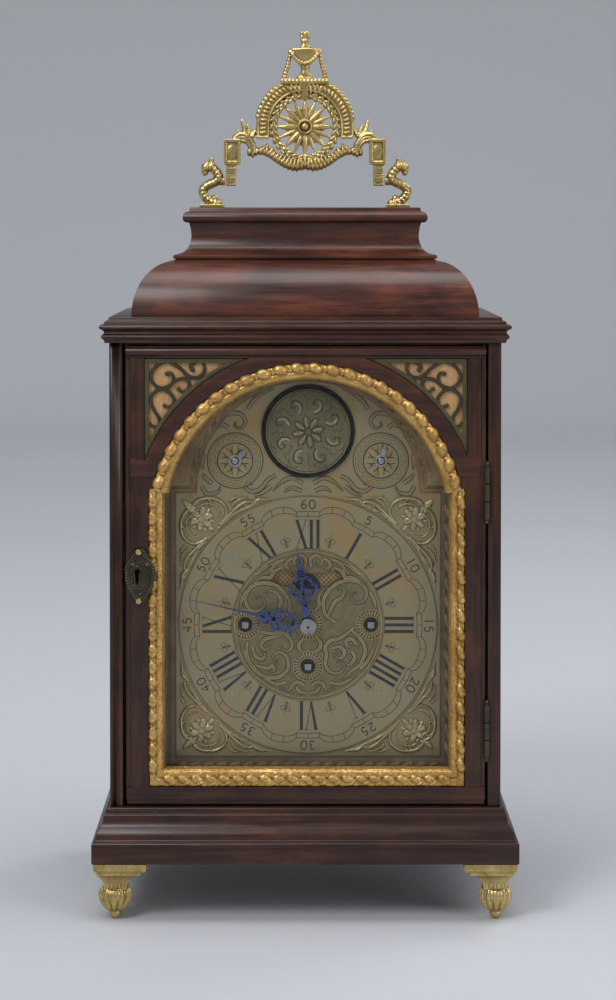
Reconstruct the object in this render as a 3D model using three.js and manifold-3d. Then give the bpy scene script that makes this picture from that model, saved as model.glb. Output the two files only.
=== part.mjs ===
// Bracket clock, about 1780: a veneered case on brass feet with a bell top and a carrying handle,
// a glazed front door with a gilt mask, a break-arch brass dial, and a three-train verge movement.
// Millimetres, +Z up. The front looks along -Y, and the feet stand on z = 0.
import * as THREE from 'three';
import { mergeVertices } from 'three/addons/utils/BufferGeometryUtils.js';
import Module from 'manifold-3d';

const wasm = await Module();
wasm.setup();

// ---- Driving dimensions: the case ----
const CASE_WIDTH = 241.5;
const CASE_DEPTH = 158.4;
const CASE_HEIGHT = 287.4;
const SIDE_THICKNESS = 8;
const FOOT_HEIGHT = 37;
const BASE_HEIGHT = 33;
const BASE_OVERHANG = 10.8;
const FOOT_PLATE = 33;
const FOOT_INSET = 0.8;
const CORNICE_HEIGHT = 15.6;
const DOME_HEIGHT = 35.7;
const DOME_INSET_BOTTOM = 12.7;
const DOME_SWELL = 26;
const NECK_HEIGHT = 22.7;
const NECK_INSET = 48.4;
const CAP_HEIGHT = 9.6;
const WINDOW_WIDTH = 84;
const WINDOW_BOTTOM = 48;
const WINDOW_TOP = 238;
const WINDOW_GLASS = 2;

// ---- Driving dimensions: the doors ----
const DOOR_GAP_LEFT = 2.2;
const DOOR_GAP_RIGHT = 1.6;
const DOOR_GAP_ENDS = 1.3;
const DOOR_THICKNESS = 18;
const LOCK_STILE = 13.9;
const HINGE_STILE = 12.5;
const TOP_RAIL = 10.5;
const BOTTOM_RAIL = 11.1;
const MASK_BAND = 9.65;
const MASK_ARCH_BAND = 10.5;
const MASK_BOTTOM_BAND = 11.2;
const MASK_ARCH_STEP = 0.35;
const MASK_ARCH_RISE = 19.8;
const MASK_SEAT = 8;
const GLASS_THICKNESS = 2;
const ARCH_STRIP = 9.2;
const FRET_SIDE_MARGIN = 11.2;
const FRET_TOP_MARGIN = 7.4;
const FRET_BORDER = 2.6;
const FRET_BAND = 2.5;
const FRET_THICKNESS = 1.5;
const FRET_RECESS = 1;
const LINING_THICKNESS = 0.6;
const HINGE_HEIGHT = 32;
const HINGE_KNUCKLE_R = 1.7;
const HINGE_PIN_R = 0.7;
const HINGE_LEAF = 0.6;
const HINGE_LEAF_DEPTH = 11;
const HINGE_STANDOFF = 2;
const HINGE_HEIGHTS = [47.5, 195];
const LOCK_HEIGHT = 143.5;
const LOCK_CASE = 30;
const LOCK_FRONT = 6.7;
const LOCK_WALL_OUTER = 1.9;
const LOCK_WALL_INNER = 2.9;
const BOLT_THROW = 3;
const BOLT_FRONT = 7.6;
const BOLT_THICKNESS = 3.2;
const BOLT_HALF = 3.6;
const KEYHOLE_R = 1.7;
const ESCUTCHEON_HEIGHT = 34.8;
const ESCUTCHEON_SHIFT = 1.9;
const BACK_DOOR_THICKNESS = 12;
const BACK_STILE = 22;

// ---- Driving dimensions: the dial and its hands ----
const DIAL_WIDTH = 166.5;
const DIAL_ARCH_RADIUS = 70;
const DIAL_THICKNESS = 2;
const DIAL_RISE = 1.6;
const DIAL_SHIFT = 0.8;
const DIAL_MASK_GAP = 1.3;
const DIAL_MASK_DEPTH = 9.9;
const DIAL_MASK_BEVEL = 8;
const CHAPTER_OUTER = 81.4;
const CHAPTER_INNER = 47.3;
const CHAPTER_THICKNESS = 1.3;
const SPANDREL_LEG = 58;
const SPANDREL_THICKNESS = 2;
const BOSS_RADIUS = 29.6;
const BOSS_RISE = 38.8;
const SUBDIAL_SPREAD = 45.8;
const SUBDIAL_RISE = 20.2;
const SUBDIAL_ANGLES = { left: 45, right: 15 };
const SUBDIAL_HAND = 11.5;
const HOUR_HAND = 49;
const MINUTE_HAND = 72.5;
const HOUR_ANGLE = -8.2;
const MINUTE_ANGLE = -77;
const HAND_THICKNESS = 0.9;
const WINDING_HOLE = 4.7;
const WINDING_SQUARE = 3.9;
const WINDING_SPREAD = 39.5;
const MOCK_PIVOT_RISE = 82.5;
const MOCK_SLOT_OUTER = 60.4;
const MOCK_SLOT_INNER = 50.1;
const MOCK_SLOT_ANGLE = 23.3;
const MOCK_SLOT_TOP_ANGLE = 20;
const MOCK_BOB_RADIUS = 7.9;

// ---- Driving dimensions: the movement ----
const MOTION_SPACE = 14;
const PLATE_THICKNESS = 3;
const PLATE_SPACING = 60;
const PLATE_WIDTH = 136;
const PLATE_TOP = 91.5;
const PILLAR_R = 4;
const SEAT_HEIGHT = 26;
const SEAT_THICKNESS = 8;
const TRAIN_MODULE = 1.1;
const GREAT_TEETH = 40;
const CENTRE_PINION_TEETH = 8;
const MOTION_MODULE = 0.8;
const HOUR_TEETH = 40;
const MOTION_PINION_TEETH = 10;
const CANNON_TEETH = 12;
const MOTION_WHEEL_TEETH = 36;
const MOTION_BEARING = 45;
const BARREL_R = 19;
const BARREL_LENGTH = 32;
const ARBOR_R = 2.4;
const PIVOT_R = 1.2;
const PENDULUM_LENGTH = 148;
const PENDULUM_BOB_R = 16;
const HOUR_BELL_R = 36;
const QUARTER_BELL_R = 26;
const HAMMER_GAP = 1.6;

// ---- Driving dimensions: the handle ----
const HANDLE_PIVOT_RISE = 17.2;
const HANDLE_SPAN = 102.4;
const HANDLE_PIN_R = 1.4;
const POST_WIDTH = 6.8;
const POST_DEPTH = 7;
const POST_FOOT = 3.2;
const BLOCK_WIDTH = 11.2;
const BLOCK_BOTTOM = 10.6;
const BLOCK_TOP = 27.4;
const ARCH_CENTRE_RISE = 35.2;
const ARCH_OUTER = 33.2;
const ARCH_INNER = 22.5;
const WREATH_RADIUS = 20.5;
const WREATH_TUBE = 3;
const SUNFLOWER_R = 18;
const URN_PLATE_HALF = 15.6;
const URN_PLATE_RISE = 62.6;
const FINIAL_RISE = 97.7;
const BRACKET_REACH = 17.4;
const BRACKET_HEIGHT = 33;
const BRACKET_DEPTH = 9;

// ---- Clearances and tessellation ----
const GAP = 0.3;
const RUNNING = 0.4;
const ARC_STEPS = 20;
const RAD = Math.PI / 180;

// ---- Levels and planes that follow from them ----
const baseTop = FOOT_HEIGHT + BASE_HEIGHT;
const caseTop = baseTop + CASE_HEIGHT;
const corniceTop = caseTop + CORNICE_HEIGHT;
const domeTop = corniceTop + DOME_HEIGHT;
const neckTop = domeTop + NECK_HEIGHT;
const capTop = neckTop + CAP_HEIGHT;
const halfWidth = CASE_WIDTH / 2;
const halfDepth = CASE_DEPTH / 2;
const interiorHalf = halfWidth - SIDE_THICKNESS;
const doorLeft = -interiorHalf + DOOR_GAP_LEFT;
const doorRight = interiorHalf - DOOR_GAP_RIGHT;
const doorBottom = baseTop + DOOR_GAP_ENDS;
const doorTop = caseTop - DOOR_GAP_ENDS - 0.9;
const doorFront = -halfDepth;
const doorBack = doorFront + DOOR_THICKNESS;
const maskLeft = doorLeft + LOCK_STILE;
const maskRight = doorRight - HINGE_STILE;
const archX = (maskLeft + maskRight) / 2;
const maskHalf = (maskRight - maskLeft) / 2;
const maskRadius = maskHalf - MASK_ARCH_STEP;
const archZ = doorTop - TOP_RAIL - maskRadius;
const maskBottom = doorBottom + BOTTOM_RAIL;
const dialX = archX + DIAL_SHIFT;
const dialBottom = maskBottom + MASK_BOTTOM_BAND + DIAL_RISE;
const dialZ = dialBottom + DIAL_WIDTH / 2;
const dialBack = doorBack + DIAL_MASK_GAP + DIAL_MASK_DEPTH;
const dialFront = dialBack - DIAL_THICKNESS;
const plateFront = dialBack + MOTION_SPACE;
const seatTop = baseTop + SEAT_HEIGHT + SEAT_THICKNESS;
const windingDrop = TRAIN_MODULE * (GREAT_TEETH + CENTRE_PINION_TEETH) / 2;

// ---- Materials ----
const paint = (color, roughness, metalness, more = {}) =>
  new THREE.MeshStandardMaterial({ color, roughness, metalness, ...more });
const WOOD = paint(0x3a1a12, 0.35, 0);
const GILT = paint(0xb8913c, 0.45, 0.6);
const DULL_GILT = paint(0x96794f, 0.7, 0.3);
const BRASS = paint(0xa58c4b, 0.35, 1);
const DIAL_BRASS = paint(0x8c8a69, 0.45, 0.9);
const PALE_GILT = paint(0xafa073, 0.4, 0.9);
const BRONZE = paint(0x4b4628, 0.5, 0.7);
const STEEL = paint(0x8a8c90, 0.35, 1);
const BLUED = paint(0x2d3c78, 0.3, 1);
const BELL_METAL = paint(0xc2a878, 0.3, 1);
const CLOTH = paint(0xc89b64, 0.95, 0);
const GLASS = paint(0xdfe6e2, 0.05, 0, { transparent: true, opacity: 0.25 });

// ---- Solids from three.js geometry ----

// A closed geometry as a solid with its faces pointing out.
function solid(geometry) {
  const bare = geometry.clone();
  bare.deleteAttribute('normal');
  bare.deleteAttribute('uv');
  const merged = mergeVertices(bare, 1e-4);
  const vertProperties = new Float32Array(merged.attributes.position.array);
  const kept = [];
  for (let i = 0; i < merged.index.count; i += 3) {
    const [a, b, c] = [0, 1, 2].map((k) => merged.index.getX(i + k));
    if (a !== b && b !== c && c !== a) kept.push(a, b, c);
  }
  const build = (triVerts) => new wasm.Manifold(new wasm.Mesh({ numProp: 3, vertProperties, triVerts }));
  const made = build(new Uint32Array(kept));
  return made.volume() > 0 ? made : build(new Uint32Array(kept.reverse()));
}

// The union of several solids.
const join = (first, ...rest) => rest.reduce((all, next) => all.add(next), first);

// A solid less several others.
const cut = (first, ...rest) => rest.reduce((all, next) => all.subtract(next), first);

// A solid as a named mesh, placed in its group.
function piece(group, name, body, material, position = [0, 0, 0], turn = 0) {
  const { vertProperties, triVerts } = body.getMesh();
  const indexed = new THREE.BufferGeometry();
  indexed.setAttribute('position', new THREE.BufferAttribute(vertProperties, 3));
  indexed.setIndex(new THREE.BufferAttribute(triVerts, 1));
  const geometry = indexed.toNonIndexed();
  geometry.computeVertexNormals();
  const mesh = new THREE.Mesh(geometry, material);
  mesh.name = name;
  mesh.position.set(...position);
  mesh.rotation.y = turn * RAD;
  group.add(mesh);
  return mesh;
}

// A box between two corners.
function box([x0, y0, z0], [x1, y1, z1]) {
  const geometry = new THREE.BoxGeometry(x1 - x0, y1 - y0, z1 - z0);
  return solid(geometry.translate((x0 + x1) / 2, (y0 + y1) / 2, (z0 + z1) / 2));
}

// An outline of [x, z] points, as a plate from y = front to y = back.
function plate(outline, front, back, holes = []) {
  const shape = new THREE.Shape(outline.map(([x, z]) => new THREE.Vector2(x, z)));
  shape.holes = holes.map((hole) => new THREE.Path(hole.map(([x, z]) => new THREE.Vector2(x, z))));
  const geometry = new THREE.ExtrudeGeometry(shape, { depth: back - front, bevelEnabled: false });
  return solid(geometry.rotateX(Math.PI / 2).translate(0, back, 0));
}

// An outline of [y, z] points, as a bar from x = left to x = right.
function bar(outline, left, right) {
  const shape = new THREE.Shape(outline.map(([y, z]) => new THREE.Vector2(y, z)));
  const geometry = new THREE.ExtrudeGeometry(shape, { depth: right - left, bevelEnabled: false });
  const axes = new THREE.Matrix4().makeBasis(
    new THREE.Vector3(0, 1, 0), new THREE.Vector3(0, 0, 1), new THREE.Vector3(1, 0, 0));
  return solid(geometry.applyMatrix4(axes).translate(left, 0, 0));
}

// A profile of [radius, y] points turned about the front-to-back axis through x, z.
function turnedY(profile, sides, x = 0, z = 0) {
  const geometry = new THREE.LatheGeometry(profile.map(([r, y]) => new THREE.Vector2(r, y)), sides);
  return solid(geometry.translate(x, 0, z));
}

// A profile of [radius, z] points turned about the upright axis through x, y.
function turnedZ(profile, sides, x = 0, y = 0) {
  const geometry = new THREE.LatheGeometry(profile.map(([r, z]) => new THREE.Vector2(r, z)), sides);
  return solid(geometry.rotateX(Math.PI / 2).translate(x, y, 0));
}

// A rod along Y, along Z and along X.
const rodY = (r, y0, y1, sides, x = 0, z = 0) => turnedY([[0, y0], [r, y0], [r, y1], [0, y1]], sides, x, z);
const rodZ = (r, z0, z1, sides, x = 0, y = 0) => turnedZ([[0, z0], [r, z0], [r, z1], [0, z1]], sides, x, y);
const rodX = (r, x0, x1, sides, y = 0, z = 0) => bar(circle(y, z, r, sides), x0, x1);

// Points on a circle, and on one that leaves a round shaft of that radius free.
function circle(x, z, r, sides, phase = 0) {
  return Array.from({ length: sides }, (_, i) => {
    const a = phase + i * 2 * Math.PI / sides;
    return [x + r * Math.cos(a), z + r * Math.sin(a)];
  });
}
const hole = (x, z, r, sides = 12) => circle(x, z, r / Math.cos(Math.PI / sides), sides);

// Points on an arc, both ends included.
function arc(x, z, r, from, to, steps) {
  return Array.from({ length: steps + 1 }, (_, i) => {
    const a = (from + (to - from) * i / steps) * RAD;
    return [x + r * Math.cos(a), z + r * Math.sin(a)];
  });
}

// A block whose four sides follow a moulding of [outward offset, z] points.
function mouldedBlock(profile, halfX, halfY) {
  const positions = profile.flatMap(([out, z]) => [
    -halfX - out, -halfY - out, z, halfX + out, -halfY - out, z,
    halfX + out, halfY + out, z, -halfX - out, halfY + out, z]);
  const index = [0, 2, 1, 0, 3, 2];
  for (let row = 0; row < profile.length - 1; row++) {
    for (let j = 0; j < 4; j++) {
      const [a, b] = [row * 4 + j, row * 4 + (j + 1) % 4];
      index.push(a, b, b + 4, a, b + 4, a + 4);
    }
  }
  const top = (profile.length - 1) * 4;
  index.push(top, top + 1, top + 2, top, top + 2, top + 3);
  const geometry = new THREE.BufferGeometry();
  geometry.setAttribute('position', new THREE.Float32BufferAttribute(positions, 3));
  return solid(geometry.setIndex(index));
}

// The side faces between rings of [x, z] points that have as many points each.
function ringFaces(rings, rows) {
  const count = rings[0].outline.length;
  const index = [];
  for (let i = 0; i < rows; i++) {
    for (let j = 0; j < count; j++) {
      const [a, b, k] = [i * count, (i + 1) % rings.length * count, (j + 1) % count];
      index.push(a + j, a + k, b + k, a + j, b + k, b + j);
    }
  }
  return index;
}

function ringGeometry(rings, index) {
  const positions = rings.flatMap(({ outline, y }) => outline.flatMap(([x, z]) => [x, y, z]));
  const geometry = new THREE.BufferGeometry();
  geometry.setAttribute('position', new THREE.Float32BufferAttribute(positions, 3));
  return solid(geometry.setIndex(index));
}

// A frame skinned through rings, each at its own y, the last joined to the first.
const ringedFrame = (rings) => ringGeometry(rings, ringFaces(rings, rings.length));

// A plug skinned through rings, each at its own y, with both ends closed.
function skinnedPlug(rings) {
  const ends = THREE.ShapeUtils.triangulateShape(rings[0].outline.map(([x, z]) => new THREE.Vector2(x, z)), []);
  const last = (rings.length - 1) * rings[0].outline.length;
  const caps = ends.flatMap(([a, b, c]) => [a, c, b, last + a, last + b, last + c]);
  return ringGeometry(rings, [...ringFaces(rings, rings.length - 1), ...caps]);
}

// A flat scroll of [x, z] points, as a band of the given width with y from front to back.
function scroll(points, width, front, back, steps) {
  const curve = new THREE.CatmullRomCurve3(points.map(([x, z]) => new THREE.Vector3(x, 0, z)));
  const sides = [[], []];
  for (let i = 0; i <= steps; i++) {
    const p = curve.getPointAt(i / steps);
    const t = curve.getTangentAt(i / steps);
    sides[0].push([p.x - t.z * width / 2, p.z + t.x * width / 2]);
    sides[1].unshift([p.x + t.z * width / 2, p.z - t.x * width / 2]);
  }
  return plate([...sides[0], ...sides[1]], front, back);
}

// A toothed outline about a point, with one tooth tip at the given angle.
const ADDENDUM = 0.7;
const DEDENDUM = 1.3;
function toothed(teeth, module, tipAngle, x = 0, z = 0) {
  const pitch = teeth * module / 2;
  return Array.from({ length: teeth * 2 }, (_, i) => {
    const r = i % 2 ? pitch - DEDENDUM * module : pitch + ADDENDUM * module;
    const a = tipAngle + i * Math.PI / teeth;
    return [x + r * Math.cos(a), z + r * Math.sin(a)];
  });
}

// An opening with straight sides and a round top that starts above its centre, about the arch's centre.
function breakArch(half, bottom, shoulder, radius, steps = ARC_STEPS) {
  const start = Math.asin(shoulder / radius) / RAD;
  return [[-half, bottom], [half, bottom], [half, shoulder],
    ...arc(0, 0, radius, start, 180 - start, steps), [-half, shoulder]];
}

const clock = new THREE.Group();

// ---- Case ----

const caseGroup = new THREE.Group();
clock.add(caseGroup);

function buildBase() {
  const out = BASE_OVERHANG;
  const [low, high] = [FOOT_HEIGHT, baseTop];
  const profile = [[out - 0.6, low], [out, low + 0.8], [out, low + 12.4], [out - 0.6, low + 13],
    [out - 1.8, low + 13.4], [out - 1.8, low + 14.2], [out - 2.6, low + 14.8], [out - 2.6, low + 16.4],
    [out - 3, low + 18.6], [out - 4, low + 20.6], [out - 5.4, low + 22.4], [out - 6.4, low + 24.8],
    [out - 6.9, low + 27.4], [out - 6.9, low + 28.8], [out - 8.2, low + 29.4], [out - 8.2, high]];
  piece(caseGroup, 'base_moulding', mouldedBlock(profile, halfWidth, halfDepth), WOOD);
}

// A foot under a corner: a stepped square plate, a bracket neck, a lotus bulb and a ball.
function buildFeet() {
  const ballIn = 9.2;
  const bulbIn = 12.6;
  const plateTop = FOOT_HEIGHT;
  const bulb = [[0, 6], [3, 6.2], [6.2, 10], [8.4, 14.6], [8.8, 18], [7.6, 20.6], [0, 20.8]];
  const ball = [[0, 0], [2.4, 0], [3.7, 1.6], [4, 3.6], [3.5, 5.6], [2.2, 7.4], [0, 7.6]];
  const outer = [halfWidth + BASE_OVERHANG - FOOT_INSET, halfDepth + BASE_OVERHANG - FOOT_INSET];
  for (const [end, sy] of [['front', -1], ['back', 1]]) {
    for (const [side, sx] of [['left', -1], ['right', 1]]) {
      const along = (inset) => [-sx * inset, -sy * inset];
      const square = (inset, size, z0, z1) => {
        const [x0, x1] = [-sx * inset, -sx * (inset + size)].sort((a, b) => a - b);
        const [y0, y1] = [-sy * inset, -sy * (inset + size)].sort((a, b) => a - b);
        return box([x0, y0, z0], [x1, y1, z1]);
      };
      const body = join(
        square(0, FOOT_PLATE, plateTop - 5.4, plateTop),
        square(1.6, FOOT_PLATE - 5, plateTop - 8, plateTop - 5),
        square(6.2, 14.2, plateTop - 17.6, plateTop - 7.6),
        turnedZ(bulb, 10, ...along(bulbIn)), turnedZ(ball, 8, ...along(ballIn)),
        rodZ(2.6, 4, 10, 8, ...along((ballIn + bulbIn) / 2)));
      piece(caseGroup, `${end}_${side}_foot`, body, BRASS, [sx * outer[0], sy * outer[1], 0]);
    }
  }
}

// A side window's outline, as [y, z] points on the case's own levels.
function windowOutline(inset) {
  const half = WINDOW_WIDTH / 2 - inset;
  const spring = baseTop + WINDOW_TOP - WINDOW_WIDTH / 2;
  return [[-half, baseTop + WINDOW_BOTTOM + inset], [half, baseTop + WINDOW_BOTTOM + inset],
    ...arc(0, spring, half, 0, 180, 12)];
}

function buildSides() {
  const wall = [[-halfDepth, baseTop], [halfDepth, baseTop], [halfDepth, caseTop], [-halfDepth, caseTop]];
  const boltZ = baseTop + LOCK_HEIGHT;
  for (const [side, sx] of [['left', -1], ['right', 1]]) {
    const [x0, x1] = [sx * interiorHalf, sx * halfWidth].sort((a, b) => a - b);
    const middle = (x0 + x1) / 2;
    let panel = cut(bar(wall, x0, x1), bar(windowOutline(0), x0 - 1, x1 + 1));
    if (sx < 0) {
      panel = cut(panel, box([-interiorHalf - BOLT_THROW - 1, doorFront + 5, boltZ - 6],
        [-interiorHalf + 1, doorFront + 13, boltZ + 6]));
    }
    piece(caseGroup, `${side}_side_panel`, panel, WOOD);
    const pane = bar(windowOutline(GAP), middle - WINDOW_GLASS / 2, middle + WINDOW_GLASS / 2);
    piece(caseGroup, `${side}_side_glass`, pane, GLASS);
  }
}

function buildTop() {
  const cornice = [[2.7, caseTop], [2.7, caseTop + 1.4], [4.4, caseTop + 3.2], [4.3, caseTop + 4.6],
    [3.2, caseTop + 6.2], [3.4, caseTop + 7.4], [5.4, caseTop + 8.6], [5.9, caseTop + 9.6], [5.6, caseTop + 10.8],
    [2.9, caseTop + 11.4], [2.9, caseTop + 13], [0.3, caseTop + 13.2], [0.3, corniceTop]];
  piece(caseGroup, 'cornice', mouldedBlock(cornice, halfWidth, halfDepth), WOOD);

  const shoulderIn = DOME_INSET_BOTTOM + DOME_SWELL;
  const domeRise = DOME_HEIGHT - 1.4;
  const dome = arc(0, 0, 1, 0, 84, 9).map(([c, s]) => [-shoulderIn + DOME_SWELL * c, corniceTop + domeRise * s]);
  const fillet = [[-shoulderIn - 0.2, domeTop - 0.6], [-shoulderIn - 0.2, domeTop + 2]];
  const sweep = NECK_INSET - shoulderIn - 1;
  const neck = arc(0, 0, 1, 90, 0, 7).map(([c, s]) => [-shoulderIn - 1 - sweep * c, domeTop + 12 - 10 * s]);
  const cap = [[-NECK_INSET, domeTop + 14.4], [-NECK_INSET + 0.5, neckTop - 1.5], [-NECK_INSET + 1.4, neckTop],
    [-NECK_INSET + 3.4, neckTop + 0.4], [-NECK_INSET + 4.9, neckTop + 2], [-NECK_INSET + 5.3, neckTop + 3.6],
    [-NECK_INSET + 4.9, neckTop + 5.2], [-NECK_INSET + 3.4, neckTop + 6.8], [-NECK_INSET + 1.2, neckTop + 7.2],
    [-NECK_INSET + 1, capTop]];
  const profile = [...dome, ...fillet, ...neck, ...cap];
  piece(caseGroup, 'bell_top', mouldedBlock(profile, halfWidth, halfDepth), WOOD);
}

function buildSeatBoard() {
  const board = box([-interiorHalf, plateFront - 4, seatTop - SEAT_THICKNESS],
    [interiorHalf, plateFront + PLATE_SPACING + 2 * PLATE_THICKNESS + 1, seatTop]);
  piece(caseGroup, 'seat_board', board, WOOD);
}

// The dark wood mask behind the door: a board with a bevelled opening round the dial.
function dialOutline(margin) {
  const half = DIAL_WIDTH / 2 + margin;
  const start = Math.asin(margin / (DIAL_ARCH_RADIUS + margin)) / RAD;
  return [[-half, -half], [half, -half], [half, half],
    ...arc(0, DIAL_WIDTH / 2, DIAL_ARCH_RADIUS + margin, start, 180 - start, ARC_STEPS), [-half, half]];
}

function buildDialMask() {
  const front = dialBack - DIAL_MASK_DEPTH;
  const edge = 0.2;
  const slope = DIAL_MASK_BEVEL / (DIAL_MASK_DEPTH - DIAL_THICKNESS);
  const board = box([-interiorHalf + edge - dialX, front, baseTop + edge - dialZ],
    [interiorHalf - edge - dialX, dialBack, caseTop - edge - dialZ]);
  const opening = skinnedPlug([
    { outline: dialOutline(0.5 + DIAL_MASK_BEVEL + slope), y: front - 1 },
    { outline: dialOutline(0.5), y: dialFront - 0.5 },
    { outline: dialOutline(0.5), y: dialBack + 1 }]);
  piece(caseGroup, 'dial_mask', cut(board, opening), DULL_GILT, [dialX, 0, dialZ]);
}

// ---- Front door, about the arch's centre, with y = 0 on the door's front face ----

const doorGroup = new THREE.Group();
doorGroup.position.set(archX, doorFront, archZ);
clock.add(doorGroup);

const hingeX = (doorRight + interiorHalf) / 2;
const caseLeaves = new THREE.Group();
caseLeaves.position.copy(doorGroup.position);
caseGroup.add(caseLeaves);

// The mask's outline, a distance out from the edge of the glass that shows.
function maskOutline(out) {
  const share = out / MASK_BAND;
  const radius = maskRadius - MASK_ARCH_BAND * (1 - share);
  const bottom = maskBottom - archZ + MASK_BOTTOM_BAND * (1 - share);
  return breakArch(maskHalf - MASK_BAND + out, bottom, MASK_ARCH_RISE, radius);
}

// A fret's outline above the arch: a corner with a hollow side.
function fretOutline(sx, inset) {
  const edge = sx < 0 ? archX - doorLeft : doorRight - archX;
  const reach = edge - FRET_SIDE_MARGIN - inset;
  const top = doorTop - FRET_TOP_MARGIN - archZ - inset;
  const radius = maskRadius + ARCH_STRIP + inset;
  const from = Math.asin(top / radius) / RAD;
  const to = Math.acos(reach / radius) / RAD;
  return [[reach, top], ...arc(0, 0, radius, from, to, 10)].map(([x, z]) => [sx * x, z]);
}

function buildDoorFrame() {
  const [left, right, low, high] = [doorLeft - archX, doorRight - archX, doorBottom - archZ, doorTop - archZ];
  const board = box([left, 0, low], [right, DOOR_THICKNESS, high]);
  const openings = [maskOutline(MASK_BAND + GAP), fretOutline(-1, 0), fretOutline(1, 0)]
    .map((edge) => plate(edge, -1, DOOR_THICKNESS + 1));
  const bead = [[1, high - 0.4], ...arc(0, high - 3.2, 2.8, 90, 270, 6), [1, high - 6]];
  const lockZ = baseTop + LOCK_HEIGHT - archZ;
  const lockX = left + LOCK_STILE / 2;
  const pocketRight = left + LOCK_STILE - LOCK_WALL_INNER + GAP;
  const lockPocket = box([left + LOCK_WALL_OUTER - GAP, LOCK_FRONT - GAP, lockZ - LOCK_CASE / 2 - GAP],
    [pocketRight, DOOR_THICKNESS + 1, lockZ + LOCK_CASE / 2 + GAP]);
  const boltSlot = box([left - 1, BOLT_FRONT - 2 * GAP, lockZ - BOLT_HALF - 2 * GAP],
    [left + LOCK_WALL_OUTER, BOLT_FRONT + BOLT_THICKNESS + 2 * GAP, lockZ + BOLT_HALF + 2 * GAP]);
  const keyhole = keyway(lockX, lockZ, -1, LOCK_FRONT);
  const frame = cut(join(cut(board, ...openings), bar(bead, left, right)), lockPocket, boltSlot, keyhole);
  piece(doorGroup, 'door_frame', frame, WOOD);
}

function buildMask() {
  const section = [[0.3, MASK_SEAT], [0, 5], [1, 1.4], [4.4, 0.3], [5.2, -1.2], [7, -2], [8.8, -1.3],
    [MASK_BAND, 0.2], [MASK_BAND, MASK_SEAT]];
  const rings = section.map(([out, y]) => ({ outline: maskOutline(out), y }));
  piece(doorGroup, 'gilt_mask', ringedFrame(rings), GILT);
  const pane = plate(maskOutline(MASK_BAND - 1), MASK_SEAT + GAP, MASK_SEAT + GAP + GLASS_THICKNESS);
  piece(doorGroup, 'door_glass', pane, GLASS);
}

// The scrolls of a fret, as shares of its width and height from its outer top corner.
const FRET_SCROLLS = [
  [[0.2, 0.0], [0.17, 0.1], [0.2, 0.2], [0.33, 0.3], [0.38, 0.24], [0.34, 0.13], [0.27, 0.13]],
  [[0.3, -0.02], [0.42, 0.08], [0.56, 0.13], [0.66, 0.05], [0.61, -0.03]],
  [[0.5, 0.1], [0.58, 0.2], [0.6, 0.3]],
  [[0.04, 0.38], [0.14, 0.3], [0.27, 0.34], [0.42, 0.24], [0.52, 0.28], [0.46, 0.36], [0.41, 0.33]],
  [[0.27, 0.34], [0.36, 0.4], [0.36, 0.5], [0.28, 0.55], [0.22, 0.5]],
  [[0.03, 0.52], [0.12, 0.6], [0.2, 0.7], [0.17, 0.8], [0.02, 0.84]],
  [[0.03, 0.4], [0.1, 0.46], [0.12, 0.6]],
];

function buildFrets() {
  for (const [side, sx] of [['left', -1], ['right', 1]]) {
    const [front, back] = [FRET_RECESS, FRET_RECESS + FRET_THICKNESS];
    const outline = fretOutline(sx, GAP);
    const [corner, crown] = outline;
    const foot = outline.at(-1);
    const [width, height] = [Math.abs(corner[0] - crown[0]), corner[1] - foot[1]];
    const at = ([u, v]) => [corner[0] - sx * u * width, corner[1] - v * height];
    const bands = FRET_SCROLLS.map((points) => scroll(points.map(at), FRET_BAND, front, back, 2 * points.length));
    const sheet = plate(outline, front, back);
    const border = cut(sheet, plate(fretOutline(sx, GAP + FRET_BORDER), front - 1, back + 1));
    const fret = join(border, ...bands.map((band) => band.intersect(sheet)));
    piece(doorGroup, `${side}_fret`, fret, BRONZE);
    const lining = plate(fretOutline(sx, 2 * GAP), back + GAP, back + GAP + LINING_THICKNESS);
    piece(doorGroup, `${side}_fret_lining`, lining, CLOTH);
  }
}

// A keyhole: a round hole over a slot, from y = front to y = back.
const keyway = (x, z, front, back) => join(
  rodY(KEYHOLE_R, front, back, 10, x, z + 2),
  box([x - KEYHOLE_R / 2, front, z - 4], [x + KEYHOLE_R / 2, back, z + 2]));

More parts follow.
